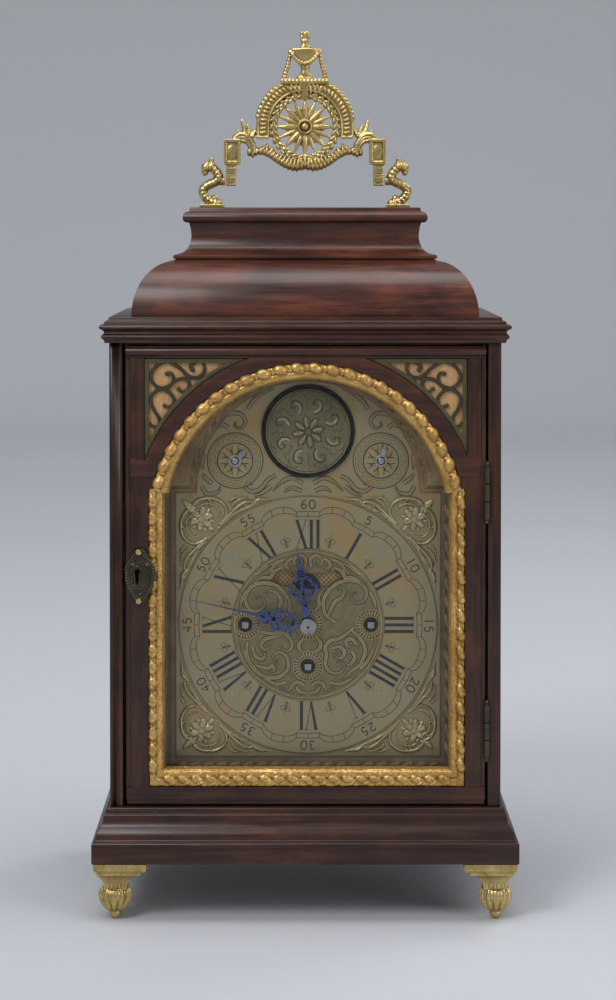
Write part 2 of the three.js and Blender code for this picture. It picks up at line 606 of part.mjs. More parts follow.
function buildLock() {
  const left = doorLeft - archX;
  const lockZ = baseTop + LOCK_HEIGHT - archZ;
  const lockX = left + LOCK_STILE / 2;
  const rim = ESCUTCHEON_HEIGHT / 2;
  const shareOfRim = [[0, 1], [0.17, 0.91], [0.29, 0.9], [0.36, 0.63], [0.53, 0.43], [0.54, 0], [0.46, -0.4],
    [0.29, -0.69], [0.14, -0.91], [0, -1]];
  const mirrored = shareOfRim.slice(1, -1).reverse().map(([x, z]) => [-x, z]);
  const shieldX = lockX + ESCUTCHEON_SHIFT;
  const shield = [...shareOfRim, ...mirrored].map(([x, z]) => [shieldX + x * rim, lockZ + z * rim]);
  const onWood = box([left, -3, lockZ - rim], [left + LOCK_STILE - GAP, 0, lockZ + rim]);
  const back = plate(shield, -2.6, 0).intersect(onWood);
  const body = cut(join(plate(shield, -4, -2.4), back), keyway(lockX, lockZ, -9, 3));
  piece(doorGroup, 'keyhole_escutcheon', body, BRASS);

  const [lockLeft, lockRight] = [left + LOCK_WALL_OUTER, left + LOCK_STILE - LOCK_WALL_INNER];
  const [boltFront, boltBack] = [BOLT_FRONT, BOLT_FRONT + BOLT_THICKNESS];
  const boltWay = box([lockLeft - 1, boltFront - GAP, lockZ - BOLT_HALF - GAP],
    [lockRight - 1.2, boltBack + GAP, lockZ + BOLT_HALF + GAP]);
  const lockCase = box([lockLeft, LOCK_FRONT, lockZ - LOCK_CASE / 2],
    [lockRight, DOOR_THICKNESS - 1.5, lockZ + LOCK_CASE / 2]);
  piece(doorGroup, 'door_lock', cut(lockCase, boltWay), STEEL);
  const bolt = box([left + GAP, boltFront, lockZ - BOLT_HALF], [lockRight - 2, boltBack, lockZ + BOLT_HALF]);
  piece(doorGroup, 'lock_bolt', bolt, STEEL);
}

// A butt hinge in the gap between door and case. The case leaf carries the pin.
function buildHinges() {
  const axisY = -HINGE_STANDOFF;
  const third = HINGE_HEIGHT / 3;
  const plateFrontY = axisY + HINGE_KNUCKLE_R + GAP;
  for (const [level, height] of [['lower', HINGE_HEIGHTS[0]], ['upper', HINGE_HEIGHTS[1]]]) {
    const z0 = baseTop + height - HINGE_HEIGHT / 2 - archZ;
    const x = hingeX - archX;
    const leafAt = (sx, low, high, front) => {
      const [a, b] = [x + sx * 0.1, x + sx * (0.1 + HINGE_LEAF)].sort((p, q) => p - q);
      return box([a, front, low], [b, axisY + HINGE_LEAF_DEPTH, high]);
    };
    const knuckle = (low, high) => rodZ(HINGE_KNUCKLE_R, low, high, 10, x, axisY);
    const caseLeaf = join(
      leafAt(1, z0, z0 + HINGE_HEIGHT, plateFrontY),
      leafAt(1, z0, z0 + third - GAP, axisY), leafAt(1, z0 + 2 * third + GAP, z0 + HINGE_HEIGHT, axisY),
      knuckle(z0, z0 + third - GAP), knuckle(z0 + 2 * third + GAP, z0 + HINGE_HEIGHT),
      rodZ(HINGE_PIN_R, z0 + 1, z0 + HINGE_HEIGHT - 1, 8, x, axisY));
    piece(caseLeaves, `${level}_hinge_case_leaf`, caseLeaf, BRASS);
    const bore = rodZ((HINGE_PIN_R + RUNNING) / Math.cos(Math.PI / 8), z0, z0 + HINGE_HEIGHT, 8, x, axisY);
    const doorLeaf = cut(join(
      leafAt(-1, z0, z0 + HINGE_HEIGHT, plateFrontY), leafAt(-1, z0 + third, z0 + 2 * third, axisY),
      knuckle(z0 + third, z0 + 2 * third)), bore);
    piece(doorGroup, `${level}_hinge_door_leaf`, doorLeaf, BRASS);
  }
}

// ---- Back door ----

function buildBackDoor() {
  const [left, right] = [-interiorHalf + DOOR_GAP_RIGHT, interiorHalf - DOOR_GAP_RIGHT];
  const half = right - BACK_STILE;
  const arched = (inset) => {
    const spring = doorTop - BACK_STILE - half;
    return [[-half - inset, doorBottom + BACK_STILE - inset], [half + inset, doorBottom + BACK_STILE - inset],
      ...arc(0, spring, half + inset, 0, 180, 16)];
  };
  const outline = [[left, doorBottom], [right, doorBottom], [right, doorTop], [left, doorTop]];
  const inner = halfDepth - BACK_DOOR_THICKNESS;
  const rebate = plate(arched(5), inner - 1, inner + 4);
  const frame = cut(plate(outline, inner, halfDepth, [arched(0)]), rebate);
  piece(clock, 'back_door_frame', frame, WOOD);
  piece(clock, 'back_door_glass', plate(arched(5 - GAP), inner + 1.6, inner + 3.6), GLASS);
}

// ---- Dial, about its centre, with y = 0 on the plate's front face ----

const dialGroup = new THREE.Group();
dialGroup.position.set(dialX, dialFront, dialZ);
clock.add(dialGroup);

const dialFeet = [[-50, -56], [50, -56], [-50, 62], [50, 62]];
const archZOnDial = DIAL_WIDTH / 2;

function mockSlot() {
  const start = MOCK_SLOT_ANGLE;
  const lower = arc(0, MOCK_PIVOT_RISE, MOCK_SLOT_OUTER, -90 - start, -90 + start, 10);
  const upper = arc(0, MOCK_PIVOT_RISE, MOCK_SLOT_INNER, -90 + MOCK_SLOT_TOP_ANGLE, -90 - MOCK_SLOT_TOP_ANGLE, 8);
  return [...lower, ...upper];
}

function buildDialPlate() {
  const holes = [hole(0, 0, 5), hole(WINDING_SPREAD, 0, WINDING_HOLE), hole(-WINDING_SPREAD, 0, WINDING_HOLE),
    hole(0, -windingDrop, WINDING_HOLE), mockSlot(),
    hole(SUBDIAL_SPREAD, archZOnDial + SUBDIAL_RISE, PIVOT_R + RUNNING, 8),
    hole(-SUBDIAL_SPREAD, archZOnDial + SUBDIAL_RISE, PIVOT_R + RUNNING, 8)];
  const footEnd = DIAL_THICKNESS + MOTION_SPACE - GAP;
  const feet = dialFeet.map(([x, z]) => rodY(2.5, DIAL_THICKNESS - 0.5, footEnd, 8, x, z));
  piece(dialGroup, 'dial_plate', join(plate(dialOutline(0), 0, DIAL_THICKNESS, holes), ...feet), DIAL_BRASS);
}

function buildDialFittings() {
  const seat = -0.2;
  const inside = circle(0, 0, CHAPTER_INNER, 32);
  const ring = plate(circle(0, 0, CHAPTER_OUTER, 48), seat - CHAPTER_THICKNESS, seat, [inside]);
  piece(dialGroup, 'chapter_ring', ring, DIAL_BRASS);

  const edge = DIAL_WIDTH / 2 - 1.7;
  const inner = CHAPTER_OUTER + 1;
  const side = edge - SPANDREL_LEG;
  const from = Math.acos(side / inner) / RAD;
  const corner = [[edge, edge], [side, edge], ...arc(0, 0, inner, from, 90 - from, 8), [edge, side]];
  for (const [level, sz] of [['upper', 1], ['lower', -1]]) {
    for (const [side, sx] of [['left', -1], ['right', 1]]) {
      const outline = corner.map(([x, z]) => [sx * x, sz * z]);
      piece(dialGroup, `${level}_${side}_spandrel`, plate(outline, seat - SPANDREL_THICKNESS, seat), PALE_GILT);
    }
  }

  const r = BOSS_RADIUS;
  const dome = [[0, -4.8], [8, -4.6], [15, -3.9], [21, -2.9], [r - 3, -1.6]];
  const rim = [[r - 2.6, -2.2], [r - 1.4, -2.8], [r - 0.2, -2.2], [r, seat], [0, seat]];
  piece(dialGroup, 'arch_boss', turnedY([...dome, ...rim], 24), BRASS, [0, 0, archZOnDial + BOSS_RISE]);
}

// A hand's outline: a round hub, a swelling for the scrolls, and a tapering blade.
function handOutline(length, hub, loop, bladeHalf) {
  const middle = (loop.from + loop.to) / 2;
  const right = [[loop.half * 0.75, (loop.from + middle) / 2], [loop.half, middle], [loop.half * 0.6, loop.to - 2],
    [bladeHalf, loop.to + 1], [bladeHalf * 0.9, loop.to + (length - loop.to) * 0.4]];
  const left = right.map(([x, z]) => [-x, z]).reverse();
  return [...arc(0, 0, hub, 100, 440, 12), ...right, [0, length], ...left];
}

// The pierced eye inside a hand's swelling.
function handEye({ from, to, half }) {
  const middle = (from + to) / 2;
  return [[0, from + 1.5], [half * 0.6, middle], [0, to - 2.5], [-half * 0.6, middle]];
}

function buildHands() {
  const hourBack = -5.2;
  const pipe = hole(0, 0, 4.4, 10);
  const hourLoop = { from: 12, to: 27, half: 5.6 };
  const hourHand = plate(handOutline(HOUR_HAND, 6.2, hourLoop, 2), hourBack - HAND_THICKNESS, hourBack,
    [pipe, handEye(hourLoop)]);
  piece(dialGroup, 'hour_hand', hourHand, BLUED, [0, 0, 0], HOUR_ANGLE);
  const minuteBack = -7.4;
  const minuteLoop = { from: 9, to: 27, half: 4.8 };
  const minuteOutline = handOutline(MINUTE_HAND, 4.6, minuteLoop, 1.6);
  const collet = [[0, minuteBack - 3], [3.4, minuteBack - 2.8], [5, minuteBack - 1.6], [5, minuteBack],
    [0, minuteBack]];
  const minuteHand = join(turnedY(collet, 14),
    plate(minuteOutline, minuteBack - HAND_THICKNESS, minuteBack, [handEye(minuteLoop)]));
  piece(dialGroup, 'minute_hand', minuteHand, BLUED, [0, 0, 0], MINUTE_ANGLE);
  for (const [side, sx] of [['left', -1], ['right', 1]]) {
    const blade = plate([[-1.3, 0], [1.3, 0], [1.9, 5], [0, SUBDIAL_HAND], [-1.9, 5]], -2.2, -1.4);
    const knob = [[0, -4.4], [1.6, -4], [2.2, -3], [2, -2.2], [3, -1.8], [3, -1], [PIVOT_R, -0.8],
      [PIVOT_R, 4], [0, 4]];
    piece(dialGroup, `${side}_subdial_hand`, join(turnedY(knob, 8), blade), STEEL,
      [sx * SUBDIAL_SPREAD, 0, archZOnDial + SUBDIAL_RISE], SUBDIAL_ANGLES[side]);
  }
}

// ---- Movement, about the dial's centre, with y = 0 on the front plate's front face ----

const movement = new THREE.Group();
movement.position.set(dialX, plateFront, dialZ);
clock.add(movement);

const backFront = PLATE_THICKNESS + PLATE_SPACING;
const backRear = backFront + PLATE_THICKNESS;
const trains = { quarter_strike: [-WINDING_SPREAD, 0], going: [0, -windingDrop], hour_strike: [WINDING_SPREAD, 0] };
const motionDistance = MOTION_MODULE * (HOUR_TEETH + MOTION_PINION_TEETH) / 2;
const cannonModule = 2 * motionDistance / (CANNON_TEETH + MOTION_WHEEL_TEETH);
const motionPost = [Math.cos(MOTION_BEARING * RAD), Math.sin(MOTION_BEARING * RAD)].map((c) => c * motionDistance);
const bellBase = PLATE_TOP + 8;
const quarterMouth = bellBase;
const hourMouth = bellBase + 24;
const hammers = {
  hour: { sx: 1, pivot: [HOUR_BELL_R + 14, PLATE_TOP - 8], head: [HOUR_BELL_R, hourMouth + 3] },
  quarter: { sx: -1, pivot: [QUARTER_BELL_R + 16, PLATE_TOP - 8], head: [QUARTER_BELL_R, quarterMouth + 3] },
};

// Pivot holes common to both plates.
function pivotHoles() {
  return [...Object.values(trains).map(([x, z]) => hole(x, z, ARBOR_R + RUNNING, 10)),
    hole(0, MOCK_PIVOT_RISE, PIVOT_R + RUNNING, 8),
    ...Object.values(hammers).map(({ sx, pivot: [x, z] }) => hole(sx * x, z, PIVOT_R + RUNNING, 8))];
}

function buildPlates() {
  const low = seatTop - dialZ;
  const half = PLATE_WIDTH / 2;
  const outline = [[-half, low], [half, low], [half, PLATE_TOP], [-half, PLATE_TOP]];
  const centre = hole(0, 0, ARBOR_R + RUNNING, 10);
  const post = hole(...motionPost, PIVOT_R + RUNNING, 8);
  const pillars = [-1, 1].flatMap((sx) => [low + 8, PLATE_TOP - 22].map((z) => [sx * (half - 7), z]));
  const pillarHoles = pillars.map(([x, z]) => hole(x, z, 2.2 + GAP, 8));
  const frontHoles = [centre, post, ...pillarHoles, ...pivotHoles()];
  piece(movement, 'front_plate', plate(outline, 0, PLATE_THICKNESS, frontHoles), BRASS);

  const posts = pillars.flatMap(([x, z]) => [
    rodY(PILLAR_R, PLATE_THICKNESS + GAP, backFront + 0.5, 10, x, z),
    rodY(2.2, -2.5, PLATE_THICKNESS + 1, 8, x, z)]);
  const standY = PLATE_THICKNESS + PLATE_SPACING / 2;
  const stand = join(box([-5, backFront, PLATE_TOP - 12], [5, backRear + 3, PLATE_TOP + 4]),
    box([-3, standY - 3, PLATE_TOP + 1], [3, backRear, PLATE_TOP + 4]),
    rodZ(2, PLATE_TOP + 2, hourMouth + 34, 8, 0, standY));
  const backHoles = pivotHoles().map((edge) => plate(edge, backFront - 1, backRear + 4));
  const back = plate(outline, backFront, backRear, [centre]);
  piece(movement, 'back_plate', cut(join(back, ...posts, stand), ...backHoles), BRASS);
}

// A spring barrel with its great wheel, and the winding arbor that runs through it.
function buildBarrels() {
  const wheel = [16, 19];
  const drum = [wheel[1] - 0.2, wheel[1] + BARREL_LENGTH];
  for (const [train, [x, z]] of Object.entries(trains)) {
    const tip = Math.PI / 2 + Math.PI / GREAT_TEETH;
    const bore = hole(0, 0, ARBOR_R + RUNNING, 10);
    const barrel = join(plate(toothed(GREAT_TEETH, TRAIN_MODULE, tip), wheel[0], wheel[1], [bore]),
      plate(circle(0, 0, BARREL_R, 20), drum[0], drum[1], [bore]));
    piece(movement, `${train}_barrel`, barrel, BRASS, [x, 0, z]);
    const half = WINDING_SQUARE / 2;
    const front = -MOTION_SPACE - DIAL_THICKNESS - 2.6;
    const square = box([-half, front, -half], [half, -MOTION_SPACE + 2, half]);
    const ratchet = plate(toothed(12, 1.5, 0), PLATE_THICKNESS + 2, PLATE_THICKNESS + 4);
    const arbor = join(square, rodY(ARBOR_R, -MOTION_SPACE + 1, backRear + 1, 10), ratchet);
    piece(movement, `${train}_winding_arbor`, arbor, STEEL, [x, 0, z]);
  }
}

function buildMotionWork() {
  const pipeFront = -MOTION_SPACE - DIAL_THICKNESS - 7.1;
  const bearing = MOTION_BEARING * RAD;
  const cannon = [-4.5, -2.8];
  const pinion = [10, 26];
  const centreArbor = join(rodY(2.4, pipeFront, -2, 10), rodY(PIVOT_R, -3, backRear + 1, 8),
    plate(toothed(CANNON_TEETH, cannonModule, bearing), ...cannon),
    plate(toothed(CENTRE_PINION_TEETH, TRAIN_MODULE, -Math.PI / 2), ...pinion));
  piece(movement, 'centre_arbor', centreArbor, STEEL);

  const wheelTip = bearing + Math.PI + Math.PI / MOTION_WHEEL_TEETH;
  const motionWheel = join(plate(toothed(MOTION_WHEEL_TEETH, cannonModule, wheelTip), ...cannon),
    plate(toothed(MOTION_PINION_TEETH, MOTION_MODULE, bearing + Math.PI), -9, cannon[0] + 0.2),
    rodY(PIVOT_R, -10, PLATE_THICKNESS - 0.5, 8));
  piece(movement, 'motion_wheel', motionWheel, BRASS, [motionPost[0], 0, motionPost[1]]);

  const hourTip = bearing + Math.PI / HOUR_TEETH;
  const bore = hole(0, 0, 2.4 + GAP, 10);
  const hourWheel = join(plate(toothed(HOUR_TEETH, MOTION_MODULE, hourTip), -8.2, -6.6, [bore]),
    plate(circle(0, 0, 4.1, 10), -MOTION_SPACE - DIAL_THICKNESS - 6.2, -8, [bore]));
  piece(movement, 'hour_wheel', hourWheel, BRASS);
}

// The verge arbor with the mock pendulum that shows in the dial, and the short pendulum at the back.
function buildPendulum() {
  const discBack = -MOTION_SPACE + 1.7;
  const bobZ = -(MOCK_SLOT_OUTER - 1.4);
  const verge = join(rodY(PIVOT_R, discBack - 0.6, backRear + 5, 8),
    box([-0.6, discBack - 0.9, bobZ], [0.6, discBack, 0.5]),
    plate(circle(0, bobZ, MOCK_BOB_RADIUS, 20), discBack - 1, discBack),
    box([0, 22, -3.4], [0.9, 28, 0]), box([-0.9, 36, -3.4], [0, 42, 0]));
  piece(movement, 'verge_arbor', verge, STEEL, [0, 0, MOCK_PIVOT_RISE]);
  const rodBack = backRear + 8;
  const lens = [[0, -4], [7, -3.4], [13, -1.8], [PENDULUM_BOB_R, 0], [13, 1.8], [7, 3.4], [0, 4]];
  const bob = turnedY(lens, 16).translate([0, rodBack - 1, -PENDULUM_LENGTH]);
  const rod = join(box([-1.4, rodBack - 1.8, -PENDULUM_LENGTH - 20], [1.4, rodBack, 4]),
    rodY(3.4, rodBack - 2.4, rodBack, 10));
  const socket = rodY(PIVOT_R + 0.3, rodBack - 8, rodBack - 2.7, 8);
  piece(movement, 'pendulum', cut(join(rod, bob), socket), BRASS, [0, 0, MOCK_PIVOT_RISE]);
}

// A bell hung on the stand, mouth down: its radius, the height of its mouth and its depth.
function bell(radius, mouth, depth) {
  const wall = 1.6;
  const crown = 2 + RUNNING;
  const outside = [[1, 0], [0.88, 0.25], [0.78, 0.6], [0.6, 0.88], [0.3, 1]].map(([r, z]) => [radius * r, depth * z]);
  const inside = outside.map(([r, z]) => [r - wall, Math.max(z - wall, 0)]).reverse();
  const profile = [...outside, [crown, depth], [crown, depth - wall], ...inside, outside[0]];
  return turnedZ(profile.map(([r, z]) => [r, mouth + z]), 14, 0, PLATE_THICKNESS + PLATE_SPACING / 2);
}

function buildStriking() {
  piece(movement, 'hour_bell', bell(HOUR_BELL_R, hourMouth, 28), BELL_METAL);
  piece(movement, 'quarter_bell', bell(QUARTER_BELL_R, quarterMouth, 18), BELL_METAL);
  const standY = PLATE_THICKNESS + PLATE_SPACING / 2;
  for (const [name, { sx, pivot, head }] of Object.entries(hammers)) {
    const [dx, dz] = [head[0] + HAMMER_GAP + 3 - pivot[0], head[1] - pivot[1]];
    const strip = [[dx - 1, dz], [dx + 1.2, dz], [1.6, 0], [-1.2, -1]].map(([x, z]) => [sx * x, z]);
    const [a, b] = [sx * (dx - 3), sx * (dx + 4)].sort((p, q) => p - q);
    const hammer = join(plate(strip, standY - 1.5, standY + 1.5), rodX(3, a, b, 8, standY, dz),
      rodY(PIVOT_R, 0.5, backRear - 0.5, 8));
    piece(movement, `${name}_hammer`, hammer, STEEL, [sx * pivot[0], 0, pivot[1]]);
  }
}

// ---- Handle, about the line through its pivots ----

const handleGroup = new THREE.Group();
handleGroup.position.set(0, 0, capTop + HANDLE_PIVOT_RISE);
clock.add(handleGroup);

function buildHandle() {
  const inner = HANDLE_SPAN / 2;
  const half = POST_DEPTH / 2;
  const z = ARCH_CENTRE_RISE;
  const arch = plate([...arc(0, z, ARCH_OUTER, -12, 192, 16), ...arc(0, z, ARCH_INNER, 192, -12, 12)], -half, half);
  const section = arc(0, 0, 1, 0, 360, 6).map(([c, s]) => [WREATH_RADIUS + WREATH_TUBE * c, (WREATH_TUBE + 1) * s]);
  const wreath = turnedY(section, 20, 0, z);
  const petals = Array.from({ length: 32 }, (_, i) => {
    const r = i % 2 ? 7 : SUNFLOWER_R;
    return [r * Math.cos(i * Math.PI / 16), z + r * Math.sin(i * Math.PI / 16)];
  });
  const seedHead = [[0, -4.4], [3, -3.8], [4.4, -1.4], [4.4, 1.4], [3, 3.8], [0, 4.4]];
  const flower = join(plate(petals, -1.6, 1.6), turnedY(seedHead, 10, 0, z));
  const swagLine = [[-29, 21.5], [-20, 18.6], [-12, 10], [-6, 8], [0, 9.2], [6, 8], [12, 10], [20, 18.6],
    [29, 21.5], [29, 25.5], [17, 24], [0, 14.6], [-17, 24], [-29, 25.5]];
  const swag = plate(swagLine, -half + 0.5, half - 0.5);
  const sides = [-1, 1].map((sx) => {
    const outline = (points) => points.map(([x, h]) => [sx * x, h]);
    const limits = (a, b) => [sx * a, sx * b].sort((p, q) => p - q);
    const [p0, p1] = limits(inner - POST_WIDTH, inner);
    const [b0, b1] = limits(inner - POST_WIDTH - 2.9, inner - POST_WIDTH - 2.9 + BLOCK_WIDTH + 0.6);
    const post = box([p0, -half, -POST_FOOT], [p1, half, BLOCK_BOTTOM + 1]);
    const block = box([b0, -half - 0.8, BLOCK_BOTTOM], [b1, half + 0.8, BLOCK_TOP]);
    const armLine = [[46, 27], [40.5, 31], [41.6, 40.5], [38, 36], [36.6, 32], [32, 34.6], [27, 27.6],
      [31, 27], [27, 24], [28, 20], [34, 21], [38.5, 23], [42, 20]];
    const arm = plate(outline(armLine), -half + 0.6, half - 0.6);
    return join(post, block, arm);
  });
  const plateZ = URN_PLATE_RISE;
  const urnPlate = box([-URN_PLATE_HALF, -half - 0.6, plateZ], [URN_PLATE_HALF, half + 0.6, plateZ + 4.4]);
  const clasp = box([-11, -half - 0.8, plateZ - 8], [11, half + 0.8, plateZ + 1]);
  const urnLine = [[0, 3], [5, 4], [3, 7], [2.4, 10], [5.6, 15], [9.4, 20], [10, 23.4], [3, 24.6],
    [2.4, 27], [3.6, 29.4], [4.2, 33], [2.2, 34.6], [0, FINIAL_RISE - plateZ]];
  const urn = turnedZ(urnLine.map(([r, h]) => [r, plateZ + h]), 8);
  const garlandLine = [[9, 21], [11, 21], [14.5, 4], [11, 4]];
  const garlands = [-1, 1].map((sx) => plate(garlandLine.map(([x, h]) => [sx * x, plateZ + h]), -1.8, 1.8));
  const body = join(arch, wreath, flower, swag, ...sides, clasp, urnPlate, urn, ...garlands);
  const wayR = (HANDLE_PIN_R + RUNNING) / Math.cos(Math.PI / 10);
  const pinWays = [[-inner - 1, -inner + POST_WIDTH + 1], [inner - POST_WIDTH - 1, inner + 1]]
    .map(([left, right]) => rodX(wayR, left, right, 10));
  piece(handleGroup, 'carrying_handle', cut(body, ...pinWays), BRASS);
}

// A scrolled bracket that stands on the cap and holds one pivot pin of the handle.
function buildBrackets() {
  const inner = HANDLE_SPAN / 2 + GAP;
  const foot = -HANDLE_PIVOT_RISE;
  const scrollLine = [[3, 2.6], [12, 8], [15, 11.6], [11.5, 15.4], [4.4, 17.4], [3, 20.4], [9, 26], [14, 29],
    [12.6, BRACKET_HEIGHT - 1.4]];
  for (const [side, sx] of [['left', -1], ['right', 1]]) {
    const line = scrollLine.map(([x, z]) => [sx * (inner + x), foot + z]);
    const body = scroll(line, 5, -BRACKET_DEPTH / 2, BRACKET_DEPTH / 2, 20);
    const [f0, f1] = [sx * (inner + 0.4), sx * (inner + BRACKET_REACH)].sort((a, b) => a - b);
    const sole = box([f0, -BRACKET_DEPTH / 2, foot], [f1, BRACKET_DEPTH / 2, foot + 4.2]);
    const [e0, e1] = [sx * inner, sx * (inner + 7)].sort((a, b) => a - b);
    const ear = rodX(3, e0, e1, 10);
    const [p0, p1] = [sx * (inner - POST_WIDTH - 0.6), sx * (inner + 3)].sort((a, b) => a - b);
    const pin = rodX(HANDLE_PIN_R, p0, p1, 10);
    piece(handleGroup, `${side}_handle_bracket`, join(body, sole, ear, pin), BRASS);
  }
}

buildBase();
buildFeet();
buildSides();
buildTop();
buildSeatBoard();
buildDialMask();
buildDoorFrame();
buildMask();
buildFrets();
buildLock();
buildHinges();
buildBackDoor();
buildDialPlate();
buildDialFittings();
buildHands();
buildPlates();
buildBarrels();
buildMotionWork();
buildPendulum();
buildStriking();
buildHandle();
buildBrackets();

export default clock;
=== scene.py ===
"""The looks of a bracket clock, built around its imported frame.

Lengths are in millimetres until a mesh is made, and flat outlines are lists of (x, z) seen from the front.
"""
import math

import bmesh
import bpy
from mathutils import Matrix, Vector, noise
from mathutils.geometry import tessellate_polygon


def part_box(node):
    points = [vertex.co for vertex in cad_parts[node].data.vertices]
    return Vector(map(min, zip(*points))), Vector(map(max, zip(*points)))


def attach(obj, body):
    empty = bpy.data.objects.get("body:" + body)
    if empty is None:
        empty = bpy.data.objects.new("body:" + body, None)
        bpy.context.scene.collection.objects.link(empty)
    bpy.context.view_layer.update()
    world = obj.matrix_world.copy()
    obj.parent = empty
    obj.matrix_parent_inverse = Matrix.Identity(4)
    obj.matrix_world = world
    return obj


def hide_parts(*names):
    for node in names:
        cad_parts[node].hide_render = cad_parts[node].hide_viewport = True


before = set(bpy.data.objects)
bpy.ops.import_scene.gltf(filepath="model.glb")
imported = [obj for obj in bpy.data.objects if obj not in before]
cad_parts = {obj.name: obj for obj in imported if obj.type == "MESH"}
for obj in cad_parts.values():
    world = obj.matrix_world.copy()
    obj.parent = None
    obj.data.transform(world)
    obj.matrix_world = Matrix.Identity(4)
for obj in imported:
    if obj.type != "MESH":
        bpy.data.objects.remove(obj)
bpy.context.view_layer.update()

MM = 0.001


def node_box(node):
    """A node's lowest and highest corner, in millimetres."""
    low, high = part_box(node)
    return low / MM, high / MM


# ---- Levels and planes, from the frame ----

base_low, base_high = node_box("base_moulding")
wall_low, wall_high = node_box("right_side_panel")
cornice_low, cornice_high = node_box("cornice")
top_low, top_high = node_box("bell_top")
door_low, door_high = node_box("door_frame")
mask_low, mask_high = node_box("gilt_mask")
board_low, board_high = node_box("dial_mask")
dial_low, dial_high = node_box("dial_plate")
ring_low, ring_high = node_box("chapter_ring")
boss_low, boss_high = node_box("arch_boss")

HALF_WIDTH = wall_high.x
HALF_DEPTH = wall_high.y
WALL = wall_high.x - wall_low.x
DOOR_FRONT = -HALF_DEPTH
DOOR_BACK = door_high.y
LOCK_LEVEL = 213.5
MORTISE_DEPTH = 4
WINDOW_HALF, WINDOW_FOOT, WINDOW_SPRING = 42, 118, 266
ARCH_X = (mask_low.x + mask_high.x) / 2
MASK_HALF = (mask_high.x - mask_low.x) / 2
MASK_RADIUS = MASK_HALF - 0.35
ARCH_Z = mask_high.z - MASK_RADIUS
MASK_RISE = 19.8
MASK_BAND = 9.65
MASK_ARCH_BAND = 10.5
MASK_BOTTOM_BAND = 11.2
DIAL_X = (ring_low.x + ring_high.x) / 2
DIAL_Z = (ring_low.z + ring_high.z) / 2
DIAL_HALF = (dial_high.x - dial_low.x) / 2
DIAL_FRONT = dial_low.y
DIAL_ARCH_RADIUS = 70
SHOULDER_Z = DIAL_Z + DIAL_HALF
RING_FRONT = ring_low.y
RING_OUTER = (ring_high.x - ring_low.x) / 2
RING_INNER = 47.3
BOSS = ((boss_low.x + boss_high.x) / 2, (boss_low.z + boss_high.z) / 2)
SUBDIALS = [(DIAL_X + side * 45.8, 281.9) for side in (-1, 1)]
WINDING = [(DIAL_X - 39.5, DIAL_Z), (DIAL_X + 39.5, DIAL_Z), (DIAL_X, DIAL_Z - 26.4)]
WINDING_HOLE = 4.7


# ---- Lines and outlines ----

def polar(radius, angle, x=0.0, z=0.0):
    """The point at a distance from (x, z) and an angle in degrees, counter-clockwise from +x."""
    a = math.radians(angle)
    return x + radius * math.cos(a), z + radius * math.sin(a)


def arc(x, z, radius, start, end, steps):
    """Points round (x, z) from one angle to another."""
    return [polar(radius, start + (end - start) * i / steps, x, z) for i in range(steps + 1)]


def spread(count, start=0.0):
    """Angles spread evenly round a circle."""
    return [start + 360 * i / count for i in range(count)]


def flipped(points, sign):
    """A flat line, mirrored left to right where sign is -1."""
    return [(sign * x, z) for x, z in points]


def circle(x, z, radius, steps=48):
    return arc(x, z, radius, 0, 360, steps)[:-1]


def smooth(points, steps=6, closed=False):
    """A smooth line through points, of any dimension, with steps between each two."""
    count = len(points)
    line = []
    for i in range(count if closed else count - 1):
        def at(j):
            return points[j % count] if closed else points[max(0, min(count - 1, j))]
        a, b, c, d = (Vector(at(i + k)) for k in (-1, 0, 1, 2))
        for s in range(steps):
            t = s / steps
            line.append(tuple(0.5 * (2 * b + (c - a) * t + (2 * a - 5 * b + 4 * c - d) * t * t
                                     + (3 * b - a - 3 * c + d) * t ** 3)))
    return line if closed else line + [tuple(points[-1])]


def break_arch(half, bottom, rise, radius):
    """A rectangle with an arch on top, about the arch's centre, clockwise from the lower left."""
    side = math.sqrt(max(radius ** 2 - rise ** 2, 0))
    start = math.degrees(math.atan2(rise, side))
    crown = arc(0, 0, radius, 180 - start, start, 40)
    shoulders = ([(-half, rise)], [(half, rise)]) if half - side > 0.2 else ([], [])
    return [(-half, bottom)] + shoulders[0] + crown + shoulders[1] + [(half, bottom)]


def spaced(path, pitch, margin=0.5):
    """Places about a pitch apart along a flat line, each (x, z, the line's direction in degrees)."""
    runs = [math.dist(a, b) for a, b in zip(path, path[1:])]
    count = max(1, round((sum(runs) - 2 * margin) / pitch))
    step = (sum(runs) - 2 * margin) / count
    places = []
    for i in range(count):
        left = margin + step * (i + 0.5)
        for (ax, az), (bx, bz), run in zip(path, path[1:], runs):
            if left <= run:
                t = left / run
                along = math.degrees(math.atan2(bz - az, bx - ax))
                places.append((ax + (bx - ax) * t, az + (bz - az) * t, along))
                break
            left -= run
    return places


# ---- Solids ----

